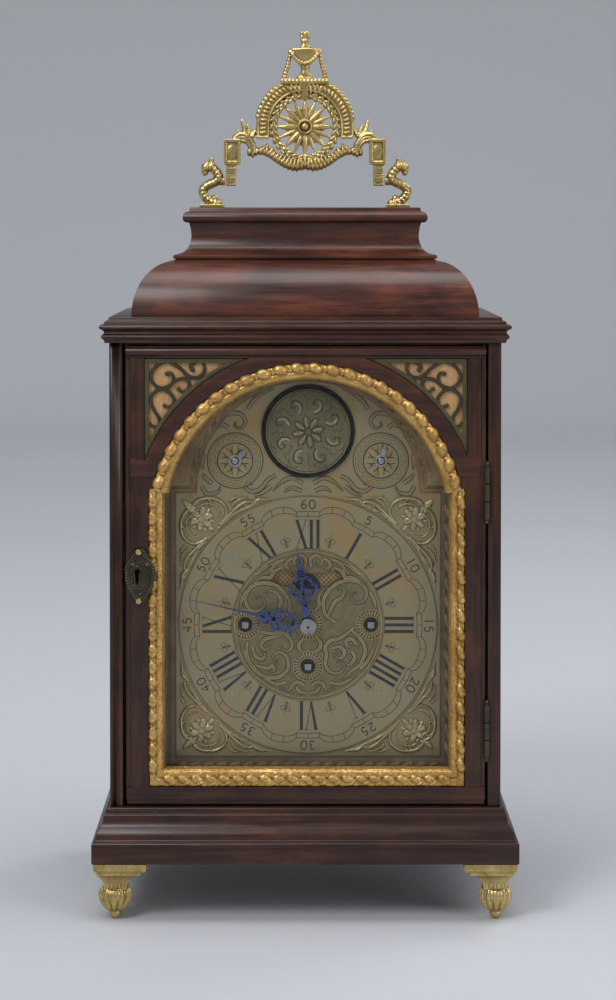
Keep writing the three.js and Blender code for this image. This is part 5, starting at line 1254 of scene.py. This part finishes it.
def build_boss():
    """A domed disc in a double ring, engraved with a rosette in a wreath of scrolled leaves."""
    x, z = BOSS
    dome = Shape()
    dome.turned([(27.0, DIAL_FRONT)] + [(r, boss_face(r)) for r in (26.6, 24, 21, 18, 15, 11.5, 8, 4, 0)],
                (x, 0, z), "Y", 64)
    piece("boss_dome", dome, BOSS_BRASS, "case", ["arch_boss"])
    rim = Shape()
    rim.hoop([(r, DIAL_FRONT + y) for r, y in BOSS_RIM], x, z)
    piece("boss_rim", rim, DARK_RIM, "case", ["arch_boss"])

    ink, gold = Shape(), Shape()
    ink.at = gold.at = Matrix.Translation((x, 0, z))

    def drape(points, shape, radius, angle=0.0):
        a = math.radians(angle)
        flat = [(u * math.cos(a) - v * math.sin(a), u * math.sin(a) + v * math.cos(a))
                for u, v in smooth(points, 4)]
        shape.rod([(u, boss_face(math.hypot(u, v)) - 0.02, v) for u, v in flat], radius, 6, 0.4)
    for angle in spread(8, 10):
        for points, half in BOSS_LINES:
            drape(points, ink, half, angle)
        for points, half in BOSS_LEAVES:
            drape(points, gold, half, angle)
    drape(arc(0, 0, 2.2, 0, 360, 16), ink, 0.22)
    drape(arc(0, 0, 25.4, 0, 360, 48), ink, 0.2)
    piece("boss_engraving", ink, ENGRAVED, "case")
    piece("boss_leaves", gold, DISC_BRASS_BRIGHT, "case")


SUBDIAL_RING = [(11.4, 0.01), (11.4, -0.3), (11.8, -0.4), (17.0, -0.4), (17.3, -0.25), (17.3, 0.01)]
# Radius, half width and height off the dial of a sub-dial's dark circles.
SUBDIAL_CIRCLES = [(17.5, 0.28, -0.3), (11.2, 0.42, -0.32), (16.2, 0.12, -0.44), (12.6, 0.12, -0.44)]


def build_subdial(side, x, z):
    """A flat ring with a row of engraved curls round an eight-leaved flower."""
    front = DIAL_FRONT
    ring, gold, ink, rivets = Shape(), Shape(), Shape(), Shape()
    ring.hoop([(r, front + y) for r, y in SUBDIAL_RING], x, z, 64)
    piece(f"{side}_subdial_ring", ring, DIAL_BRASS, "case")
    ink.at = gold.at = Matrix.Translation((x, 0, z))
    for radius, half, level in SUBDIAL_CIRCLES:
        ink.stroke(arc(0, 0, radius, 0, 360, 64), half, front + level)
    for angle in spread(24):
        curl = [polar(14.4 + 0.8 * math.sin(t), angle + 7 * (t / 3.1 - 1)) for t in (0, 1.5, 3.1, 4.6, 6.2)]
        ink.stroke(curl, 0.14, front - 0.44)
    for angle in spread(8):
        line = [polar(r, angle) for r in (3.2, 5, 7, 9, 10.2)]
        ink.stroke(line, lambda t: 2.3 * math.sin(math.pi * (0.2 + 0.8 * t)) + 0.15, front - 0.1)
        gold.leaf(line, 1.75, 0.3, front - 0.12, 0, 0.3, 0.4)
        u, v = polar(9.4, angle + 22.5)
        gold.egg((u, front - 0.12, v), (1.2, 0.25, 0.8), angle + 22.5)
    piece(f"{side}_subdial_flower", gold, DISC_BRASS_BRIGHT, "case")
    piece(f"{side}_subdial_lines", ink, ENGRAVED, "case")
    for sign in (-1, 1):
        rivets.ball((x + sign * 14.3, front - 0.45, z), 0.9, 0.4, 8)
    piece(f"{side}_subdial_rivets", rivets, STEEL, "case")


# Scrolls of the arch's right half, out from the middle line and up.
ARCH_SCROLLS = [
    [(3, 267.5), (10, 271), (17, 268), (22, 262.5)],
    [(4, 262.8), (10, 264.6), (15, 262)],
    [(20, 272.5), (25, 270), (30, 264), (36, 262.6), (40, 266), (37.5, 268.6), (35, 266.4)],
    [(23, 266), (28, 262), (34, 259.6)],
    [(67, 266), (63.6, 261), (57, 262), (55, 266)],
    [(61, 300), (57, 306.5), (50, 311), (43, 311.6), (39.4, 306.6), (42, 302.4), (46, 303.6), (45.4, 306.6)],
    [(38, 314), (34, 320), (28, 324.4), (21, 327.6)],
    [(66, 288), (66.4, 282), (66, 276)],
    [(60, 267.5), (64.6, 271), (66.4, 274)],
    [(50, 302.4), (54, 304.8), (58, 301.6)],
]


def build_arch_scrolls():
    gold, ink = Shape(), Shape()
    gold.at = ink.at = Matrix.Translation((DIAL_X, 0, 0))
    for line in ARCH_SCROLLS:
        for sign in (-1, 1):
            foliage(gold, ink, flipped(line, sign), 1.2, DIAL_FRONT - 0.42)
    piece("arch_scrolls", gold, DIAL_BRASS, "case")
    piece("arch_scroll_lines", ink, ENGRAVED, "case")


# ---- Hands: lines across and out from the pivot, with half widths ----

HOUR_ANGLE, MINUTE_ANGLE = -8.2, -77
MINUTE_FRONT, MINUTE_THICK = -60.3, 0.9
COLLET_FRONT = -61.6
POINTER_FRONT = -54.2
HOUR_SCROLLS = [
    ([(0.3, 12.5), (2.6, 15.2), (3.6, 18.4), (6.2, 20.6), (8.6, 22.6), (8.2, 25.4), (6.0, 25.0)], 0.85),
    ([(6.6, 21), (3.6, 21.6), (2.4, 24.4), (4.2, 27.4), (6.8, 27.6)], 0.75),
    ([(0.2, 19.5), (1.4, 23.4), (3.6, 27), (6.0, 29.8)], 0.75),
    ([(0.2, 32), (2.6, 30.2), (4.2, 31.4)], 0.6),
    ([(1.6, 14), (1.2, 17), (2.8, 20)], 0.5),
]
MINUTE_SCROLLS = [
    ([(0.3, 10), (3.4, 11.6), (5.6, 14.6), (5.2, 18), (2.6, 20.6), (-0.8, 22.6), (-2.6, 25), (-1.8, 27.8),
      (0, 29.4)], 0.85),
    ([(4.4, 10.2), (6.2, 9.2), (6.4, 11.4)], 0.5),
    ([(1.2, 13), (2.6, 15.4), (1.4, 17.6), (-0.6, 16.6)], 0.65),
    ([(5.2, 18), (6.8, 20), (5.4, 22.4), (2.8, 24)], 0.6),
    ([(2.2, 25), (4.0, 27.6), (2.6, 30.4), (0.4, 31)], 0.6),
]


def add_scrolls(hand, scrolls, front, deep):
    for sign in (-1, 1):
        for line, half in scrolls:
            hand.stroke(smooth(flipped(line, sign), 4), half, front, deep)


def build_hour_hand():
    low, high = node_box("hour_hand")
    front, deep = low.y + 0.05, high.y - low.y - 0.1
    hand = Shape()
    hand.at = on_dial(HOUR_ANGLE)
    hand.plate(circle(0, 0, 5.0, 32), front, front + deep, [circle(0, 0, 3.4, 24)])
    hand.stroke([(0, z) for z in (4.4, 6.6, 8.8, 10.6, 12.6, 15)],
                lambda t: 0.9 + 1.5 * math.sin(math.pi * min(1, t * 1.05)) ** 2, front, deep)
    add_scrolls(hand, HOUR_SCROLLS, front, deep)
    hand.stroke([(0, 19), (0, 24), (0, 30)], 0.7, front, deep)
    for z in (35.4, 33.8):
        hand.stroke([(-3.0, z), (0, z - 0.8), (3.0, z)], 0.5, front, deep)
    hand.stroke([(0, z) for z in (29.5, 31.5, 34, 36, 42, 49)],
                lambda t: 1.2 + 1.25 * t / 0.3 if t < 0.3 else 2.45 * (1 - t) / 0.7 + 0.06, front, deep)
    piece("hour_hand_plate", hand, BLUED, "hour", ["hour_hand"], bevel=0.14)


def build_minute_hand():
    front, deep = MINUTE_FRONT, MINUTE_THICK
    hand = Shape()
    hand.at = on_dial(MINUTE_ANGLE)
    hand.plate(circle(0, 0, 4.6, 32), front, front + deep)
    hand.stroke([(0, 4), (0, 7), (0, 10.5)], 1.15, front, deep)
    hand.stroke([(-4.4, 10.2), (0, 9.6), (4.4, 10.2)], 0.6, front, deep)
    add_scrolls(hand, MINUTE_SCROLLS, front, deep)
    hand.stroke([(0, z) for z in (19, 24, 30, 40, 56, 72.4)], lambda t: 1.15 * (1 - t) + 0.12, front, deep)
    piece("minute_hand_plate", hand, BLUED, "minute", ["minute_hand"], bevel=0.14)
    collet = (DIAL_X, COLLET_FRONT, DIAL_Z)
    add_screw("minute_collet", Shape(), collet, 4.9, -52, STEEL, "minute", rise=0.75)
    # A black strip in the collet's slot: painted shade of the slot's depth.
    cut = Shape()
    cut.at = on_dial(38)
    cut.stroke([(0, -4.6), (0, 4.6)], 0.7, COLLET_FRONT - 0.35, 0.3)
    piece("minute_collet_slot_shade", cut, DARK, "minute")
    collar = Shape()
    collar.turned([(4.6, -59.9), (5.0, -60.5), (5.0, -61.2), (4.6, -61.4)], (DIAL_X, 0, DIAL_Z), "Y", 32)
    piece("minute_collet_collar", collar, STEEL, "minute", ["minute_hand"])


def build_subdial_hand(side, angle, x, z):
    """A short pointer with a knob, its knob's profile as radius and height off the pointer's face."""
    front = POINTER_FRONT
    hand = Shape()
    hand.at = on_dial(angle, x, z)
    knob = [(3.6, 0.8), (4.2, 0.4), (4.0, 0), (2.7, -0.2), (2.2, -0.9), (2.5, -1.4), (1.7, -2.0), (0, -2.15)]
    hand.turned([(r, front + y) for r, y in knob], (0, 0, 0), "Y", 20)
    hand.stroke([(0, r) for r in (3, 5.4, 7, 8.4, 11.3)],
                lambda t: 1.0 + math.sin(math.pi * 1.4 * t) if t < 0.7 else 3 * (1 - t) + 0.1, front, 0.8)
    name = f"{side}_subdial_hand"
    piece(f"{side}_subdial_pointer", hand, STEEL, name, [name], bevel=0.1)


def build_subdials():
    for side, (x, z), angle in zip(("left", "right"), SUBDIALS, (45, 15)):
        build_subdial(side, x, z)
        build_subdial_hand(side, angle, x, z)


# ---- Handle and its brackets, about the line through the pivots ----

HANDLE_Z = 458.2
POST_OUTER = 51.2
URN_SEAT = 62.6
WHEEL_Z = 35.2


def on_handle():
    shape = Shape()
    shape.at = Matrix.Translation((0, 0, HANDLE_Z))
    return shape


# Sprays from the arms' scrolls, with their greatest radius.
ARM_SPRAYS = [
    ([(37.6, 29), (39.2, 33), (41.2, 40.2)], 2.55), ([(36, 29), (36, 33), (37.4, 36.8)], 1.95),
    ([(34.6, 29), (33, 31.6), (31.4, 33.6)], 2.1), ([(40.5, 28.6), (42.6, 31), (43.4, 33.4)], 1.5),
]


def build_handle_arms(shape):
    """The two posts on the pivots, each with a square block and a scroll of three reeds to the arch."""
    for sign in (-1, 1):
        inner, outer = sorted((sign * (POST_OUTER - 6.8), sign * POST_OUTER))
        shape.box((inner, -2.9, -3.0), (outer, 2.9, 11.5))
        for edge in (inner, outer - 0.9):
            shape.box((edge, -3.5, -3.1), (edge + 0.9, 3.5, 11.5))
        for i in range(9):
            shape.box((inner + 0.6, -3.4, -2.6 + 1.5 * i), (outer - 0.6, 3.4, -1.8 + 1.5 * i))
        x0, x1 = sorted((sign * 41.7, sign * 52.5))
        shape.box((x0, -3.3, 10.8), (x1, 3.3, 27.3))
        for a, b, low, high in ((x0, x1, 10.8, 12.9), (x0, x1, 25.4, 27.3), (x0, x0 + 2, 10.8, 27.3),
                                (x1 - 2, x1, 10.8, 27.3)):
            shape.box((a, -4.2, low), (b, 4.2, high))
        for y in (-3.2, 3.2):
            shape.egg(((x0 + x1) / 2, y, 19.2), (3.4, 0.8, 4.6))
        for shift in (-1.9, 0.2, 2.2):
            reed = [(46.5, 27 + 0.2 * shift), (42.5, 28.2 + shift), (38, 27.4 + shift), (34.5, 23.4 + shift),
                    (32.6, 20.2 + shift)]
            shape.rod(smooth(flipped(reed, sign), 4), 1.75, 8, 1.9)
        for line, radius in ARM_SPRAYS:
            shape.rod(smooth(flipped(line, sign), 5), lambda t: radius * (1 - 0.7 * t), 8, 1.3)
        for x, z in ((31.2, 19.2), (33.6, 18.0), (36, 19.0), (28.6, 19.6)):
            shape.egg((sign * x, 0, z), (1.5, 3.2, 3.1), 10 * sign)


def build_handle_arch(shape):
    """A moulded arch round a rayed flower and two rings of leaves."""
    centre = WHEEL_Z
    section = [(23.2, -2.3), (31.6, -2.3), (31.6, 2.3), (23.2, 2.3)]
    rings = [[(r, y, 28.0) for r, y in section]]
    for across, up in arc(0, 0, 1, 0, 180, 40):
        rings.append([(r * across, y, centre + r * up) for r, y in section])
    rings.append([(-r, y, 28.0) for r, y in section])
    shape.skin(rings)
    for radius in (23.8, 30.6):
        shape.rod([(radius, 28.6)] + arc(0, centre, radius, 0, 180, 40) + [(-radius, 28.6)], 0.85, 8, 3.6)
    for x0, x1 in ((-31.4, -23.2), (23.2, 31.4)):
        shape.box((x0, -3.0, 27.3), (x1, 3.0, 29.0))
    beads = [(27.2, 29.5)] + arc(0, centre, 27.2, 0, 180, 60) + [(-27.2, 29.5)]
    for x, z, along in spaced(beads, 2.7):
        for y in (-2.5, 2.5):
            shape.egg((x, y, z), (0.95, 1.0, 1.9), along + 18)
    for i in range(9):
        for angle in (12 + 5.6 * i, 168 - 5.6 * i):
            x, z = polar(31.52, angle, 0, centre)
            shape.egg((x, 0, z), (2.3, 3.0, 1.35), angle + 114)
    for angle in spread(30):
        for radius, lean in ((19.0, -24), (21.9, 24)):
            x, z = polar(radius, angle, 0, centre)
            shape.egg((x, 0, z), (2.5, 2.2, 1.05), angle + 90 + (lean if x > 0 else -lean))
    shape.rod(arc(0, centre, 20.5, 0, 360, 48), 1.5, 8, 1.2)
    for i, angle in enumerate(spread(16)):
        tip, half = (18.6, 1.55) if i % 2 else (17.6, 2.0)
        shape.rod([polar(r, angle, 0, centre) for r in (3, 6, 9, 12, 15, tip)],
                  lambda t: half * (0.40 + 0.60 * math.sin(math.pi * min(1, t * 0.95 + 0.05))), 8, 0.9)
        between = [polar(r, angle + 11.25, 0, centre) for r in (3, 8, 13)]
        shape.rod(between, lambda t: 0.95 * (1 - 0.7 * t), 6)
    for side in (-1, 1):
        shape.ball((0, 1.9 * side, centre), 2.5, 0.75, 10)
        shape.rod(arc(0, centre, 4.2, 0, 360, 20), 0.8, 6, 1.0, 1.4 * side)


# The urn: radius and height over its seat.
URN = [
    (6.0, 2.0), (6.0, 4.6), (4.6, 5.6), (3.0, 7.2), (2.6, 9.4), (3.0, 11.4), (4.6, 13.4), (6.6, 15.6),
    (8.2, 17.8), (9.2, 19.8), (9.7, 21.2), (10.0, 22.6), (9.4, 23.4), (5.0, 23.8), (3.0, 24.6), (2.5, 26),
    (2.3, 27.2), (3.0, 28.2), (2.6, 29.2),
]


def build_handle_top(shape):
    """A clasp and a beaded shelf with an urn in garlands."""
    for x in (-9, -6.3, -3.6, 3.6, 6.3, 9):
        shape.egg((x, 0, 59.4), (1.5, 3.6, 4.2), x * 1.2)
    shape.box((-1.7, -3.6, 52.8), (1.7, 3.6, 63.4))
    for x in (-2.6, 2.6):
        shape.egg((x * 1.6, 0, 54.6), (2.2, 3.2, 1.3), -x * 8)
    shape.box((-15.2, -3.6, 63.0), (15.2, 3.6, 66.2))
    for i in range(13):
        for y in (-3.2, 3.2):
            shape.ball((-14.4 + 2.4 * i, y, 64.6), 1.35, 0.8, 8)
    foot = URN_SEAT
    shape.skin([[(r * u, (0.36 if r > 4 else 0.7) * r * v, foot + h) for u, v in circle(0, 0, 1, 24)] for r,
                h in URN])
    for x, z, turn in ((-2.0, 31.0, 60), (2.0, 31.2, 120), (0, 32.4, 90), (-1.8, 33.2, 50), (1.5, 33.3, 130)):
        shape.egg((x, 0, foot + z), (1.9, 1.5, 1.25), turn)
    for sign in (-1, 1):
        shape.ball((sign * 9.3, 0, foot + 21.0), 1.9, 1.0, 8)
        garland = flipped([(9.6, foot + 19.6), (11.0, foot + 13), (12.8, foot + 7), (13.2, foot + 3.4)], sign)
        for x, z, along in spaced(garland, 2.1):
            shape.egg((x, 0, z), (1.8, 1.9, 1.35 + 0.04 * (foot + 19 - z)), along)
    swag = [(x, foot + z) for x, z in ((-9.0, 20.6), (-5.2, 15.8), (0, 13.6), (5.2, 15.8), (9.0, 20.6))]
    for x, z, along in spaced(smooth(swag, 5), 2.1):
        for y in (-2.6, 2.6):
            shape.egg((x, y, z), (1.4, 1.1, 1.3), along)


def build_handle_swag(shape):
    """The garland that hangs between the arms under the arch."""
    half = [(29, 20.5), (22, 17.2), (16, 13.2), (10, 10.2), (4, 9.6)]
    line = smooth(flipped(half, -1) + [(0, 11.2)] + half[::-1], 5)
    shape.rod(line, 2.7, 8, 1.1)
    for x, z, along in spaced(line, 2.5):
        turn = along * 0.7 + (10 if x > 0 else -10)
        shape.egg((x, 0, z + 0.9), (1.15, 3.6, 4.0 + 0.9 * math.cos(x / 9)), turn)
    for sign in (-1, 1):
        for u, v in ((24.6, 22.4), (27, 20.6), (21.5, 20.2)):
            shape.egg((sign * u, 0, v), (1.3, 2.8, 2.3), 12 * sign)


def build_handle():
    shape = on_handle()
    build_handle_arms(shape)
    build_handle_arch(shape)
    build_handle_top(shape)
    build_handle_swag(shape)
    piece("handle_casting", shape, CAST_BRASS, "handle", ["carrying_handle"], fuse=0.40, soften=1)


# A bracket's scroll, out from its inner edge and up from its foot, and its bosses with their radii.
BRACKET_SCROLL = [(4.4, 2.8), (9, 4.0), (13.4, 7.6), (14.2, 11.6), (11, 14.6), (6.6, 16.6), (4.0, 19.4),
                  (5.6, 23.4), (9.4, 26.6), (13.2, 27.6)]
BRACKET_BOSSES = [(12.4, 26.0, 3.3), (8.8, 26.6, 3.2), (4.0, 3.0, 2.6), (13.0, 22.8, 2.3), (6.8, 6.2, 2.2),
                  (9.4, 3.0, 2.4)]
BRACKET_INNER, BRACKET_FOOT = 51.9, -17.2


def build_brackets():
    for side, sign in (("left", -1), ("right", 1)):
        bracket = on_handle()

        def out(points):
            return [(sign * (BRACKET_INNER + u), BRACKET_FOOT + v) for u, v in points]
        line = smooth(out(BRACKET_SCROLL), 5)
        bracket.rod(line, lambda t: 3.1 - 0.7 * abs(t - 0.5), 10, 1.3)
        for x, z, along in spaced(line, 2.6):
            bracket.egg((x, 0, z), (1.6, 4.2, 3.3), along + 12)
        for u, v, radius in BRACKET_BOSSES:
            (x, z), = out([(u, v)])
            bracket.ball((x, 0, z), radius, 1.35, 8)
        bracket.rod(out([(8.8, 28.5), (8.6, 32.2)]), 1.6, 8, 1.2)
        bracket.rod([(sign * BRACKET_INNER, 0, 0), (sign * 56.5, 0, 0)], 2.7, 10)
        x0, x1 = sorted((sign * 52.4, sign * 68.2))
        bracket.box((x0, -4.2, BRACKET_FOOT), (x1, 4.2, BRACKET_FOOT + 2.2))
        name = f"{side}_bracket_casting"
        piece(name, bracket, CAST_BRASS, "case", [f"{side}_handle_bracket"], fuse=0.40, soften=1)


# ---- Feet ----

# Slabs of a foot's stepped plate: inset from the foot's corner, size, lower and upper level.
FOOT_SLABS = [(0.1, 32.8, 33.2, 36.9), (0.5, 32.0, 31.9, 33.4), (1.9, 27.4, 29.3, 32.0)]
FOOT_BULB = [(2.5, 5.6), (4.6, 6.4), (6.6, 8.6), (8.0, 11.6), (8.5, 14.6), (8.2, 17.2), (7.4, 19.2),
             (6.4, 20.6)]
FOOT_BALL = [(0.4, 0.15), (2.4, 0.7), (3.7, 2.4), (3.9, 4.0), (3.4, 5.6), (2.4, 6.8)]
FOOT_INSET = 12.8
FLUTE_INSET, FLUTE_Z = 6.3, 23.6


def build_foot(name, sx, sy):
    """A stepped plate over a hollow neck with flutes, a bulb in two rows of leaves and a ball."""
    foot = Shape()
    low, high = node_box(name)
    corner_x = low.x if sx < 0 else high.x
    corner_y = low.y if sy < 0 else high.y

    def square(inset, size, z):
        x0, x1 = sorted((corner_x - sx * inset, corner_x - sx * (inset + size)))
        y0, y1 = sorted((corner_y - sy * inset, corner_y - sy * (inset + size)))
        return [(x0, y0, z), (x1, y0, z), (x1, y1, z), (x0, y1, z)]

    def swell(t):
        return 0.35 + 0.65 * math.sin(math.pi * min(1, 0.25 + 0.75 * t))
    for inset, size, z0, z1 in FOOT_SLABS:
        foot.skin([square(inset, size, z0), square(inset, size, z1)])
    shares = [i / 12 for i in range(13)]
    foot.skin([square(6.2 - 4.0 * t ** 2.6, 14.4 + 10.4 * t ** 2.4, 19.4 + 10.0 * t) for t in shares])
    x, y = corner_x - sx * FOOT_INSET, corner_y - sy * FOOT_INSET
    foot.turned([(r * 0.93, z) for r, z in FOOT_BULB], (x, y, 0), "Z", 32)
    for row, (start, shift) in enumerate(((0, 0), (3, 15))):
        for angle in spread(12, shift):
            line = [(*polar(r + 0.1, angle, x, y), z) for r, z in FOOT_BULB[start:] if z < 19.5]
            foot.rod(line[::-1], lambda t: 1.9 * swell(t) - 0.5 * row, 8, 0.45)
    foot.turned(FOOT_BALL, (x, y, 0), "Z", 24)
    for i in range(5):
        offset = 8.8 + 2.4 * i
        foot.egg((corner_x - sx * FLUTE_INSET, corner_y - sy * offset, FLUTE_Z), (0.7, 0.85, 3.6))
        foot.egg((corner_x - sx * offset, corner_y - sy * FLUTE_INSET, FLUTE_Z), (0.85, 0.7, 3.6))
    piece(f"{name}_casting", foot, CAST_BRASS, "case", [name], fuse=0.42, soften=1)


def build_feet():
    for depth, sy in (("front", -1), ("back", 1)):
        for side, sx in (("left", -1), ("right", 1)):
            build_foot(f"{depth}_{side}_foot", sx, sy)


# ---- Plain pieces ----

def build_inside():
    """Finishes of the plain pieces behind the dial."""
    finish_nodes(DIAL_BRASS, "dial_plate")
    finish_nodes(PLATE_BRASS, "front_plate", "back_plate", "going_barrel", "hour_strike_barrel",
                 "quarter_strike_barrel",
                 "motion_wheel", "hour_wheel", "pendulum")
    finish_nodes(STEEL, "going_winding_arbor", "hour_strike_winding_arbor", "quarter_strike_winding_arbor",
                 "centre_arbor", "hour_hammer", "quarter_hammer", "door_lock", "lock_bolt")
    finish_nodes(DARK_RIM, "verge_arbor")
    finish_nodes(BELL, "hour_bell", "quarter_bell")
    finish_nodes(WOOD_X, "seat_board")
    finish_nodes(WOOD_Z, "back_door_frame")


# ---- Stage, light and camera ----

PHOTO_HEIGHT = 1000
EYE = (-4.5, -1468.0, 431.6)
FOCAL_PX = 2259.4
TILT = 1.466
SHIFT = (0.010, -0.22)


def build_camera():
    data = bpy.data.cameras.new("camera")
    camera = bpy.data.objects.new("camera", data)
    bpy.context.scene.collection.objects.link(camera)
    camera.location = Vector(EYE) * MM
    camera.rotation_euler = (math.radians(90 - TILT), 0, 0)
    data.sensor_width = 36
    data.lens = FOCAL_PX / PHOTO_HEIGHT * data.sensor_width
    data.shift_x, data.shift_y = SHIFT
    data.clip_start, data.clip_end = 0.05, 30
    bpy.context.scene.camera = camera


def area_light(name, place, target, size, power, colour=(1, 1, 1)):
    data = bpy.data.lights.new(name, "AREA")
    data.shape = "RECTANGLE"
    data.size, data.size_y = size
    data.energy = power
    data.color = colour
    light = bpy.data.objects.new(name, data)
    light.location = place
    light.rotation_euler = (Vector(target) - Vector(place)).to_track_quat("-Z", "Y").to_euler()
    bpy.context.scene.collection.objects.link(light)


def build_stage():
    floor = Shape()
    profile = [(-3600, 0), *arc(3100, 900, 900, -90, 0, 16), (4000, 4200)]
    points = [(x, y, z) for x in (-5000, 5000) for y, z in profile]
    count = len(profile)
    floor.add(points, [[i, i + 1, i + 1 + count, i + count] for i in range(count - 1)])
    mesh = bpy.data.meshes.new("floor")
    mesh.from_pydata([p * MM for p in floor.points], [], floor.faces)
    mesh.shade_smooth()
    thing = bpy.data.objects.new("floor", mesh)
    bpy.context.scene.collection.objects.link(thing)
    f = Finish("pale_floor", Roughness=0.55, Specular_IOR_Level=0.2)
    # Painted light falloff: the floor is darkest from y = 0.2 m forward, under and in front of the clock, and
    # lighter further back, and the backdrop grows darker as it rises.
    parts = f.add("SeparateXYZ", {"Vector": f.place}).outputs
    cloud = f.sum(f.noise(2, 2), 0.08, "MULTIPLY")
    ground = f.mix(f.span(f.sum(parts["Y"], cloud), 0.2, 2.6), (0.52, 0.535, 0.57), (0.80, 0.815, 0.85))
    f.set(Base_Color=f.mix(f.span(f.sum(parts["Z"], cloud), -0.1, 1.5), ground, (0.66, 0.665, 0.665)))
    mesh.materials.append(f.material)
    world = bpy.data.worlds.new("studio")
    bpy.context.scene.world = world
    world.use_nodes = True
    world.node_tree.nodes["Background"].inputs["Color"].default_value = (0.80, 0.84, 0.90, 1)
    world.node_tree.nodes["Background"].inputs["Strength"].default_value = 0.42
    area_light("key", (-1.1, -1.5, 1.9), (0, 0, 0.25), (0.9, 0.9), 26)
    area_light("fill", (1.7, -1.3, 0.9), (0, 0, 0.25), (1.0, 1.2), 9)
    area_light("top", (0.0, -0.25, 1.9), (0, 0, 0.2), (1.4, 0.8), 16)
    area_light("rim", (1.2, 0.9, 1.5), (0, 0, 0.3), (0.8, 0.8), 8)


build_mouldings()
build_sides()
build_door_boards()
build_mask()
build_frets()
build_escutcheon()
build_hinges()
build_dial_mask()
build_chapter_ring()
build_disc_ground()
build_disc_engraving()
build_slot_backing()
build_spandrels()
build_boss()
build_subdials()
build_arch_scrolls()
build_hour_hand()
build_minute_hand()
build_handle()
build_brackets()
build_feet()
build_inside()

build_camera()
build_stage()
bpy.context.scene.view_settings.view_transform = "Standard"
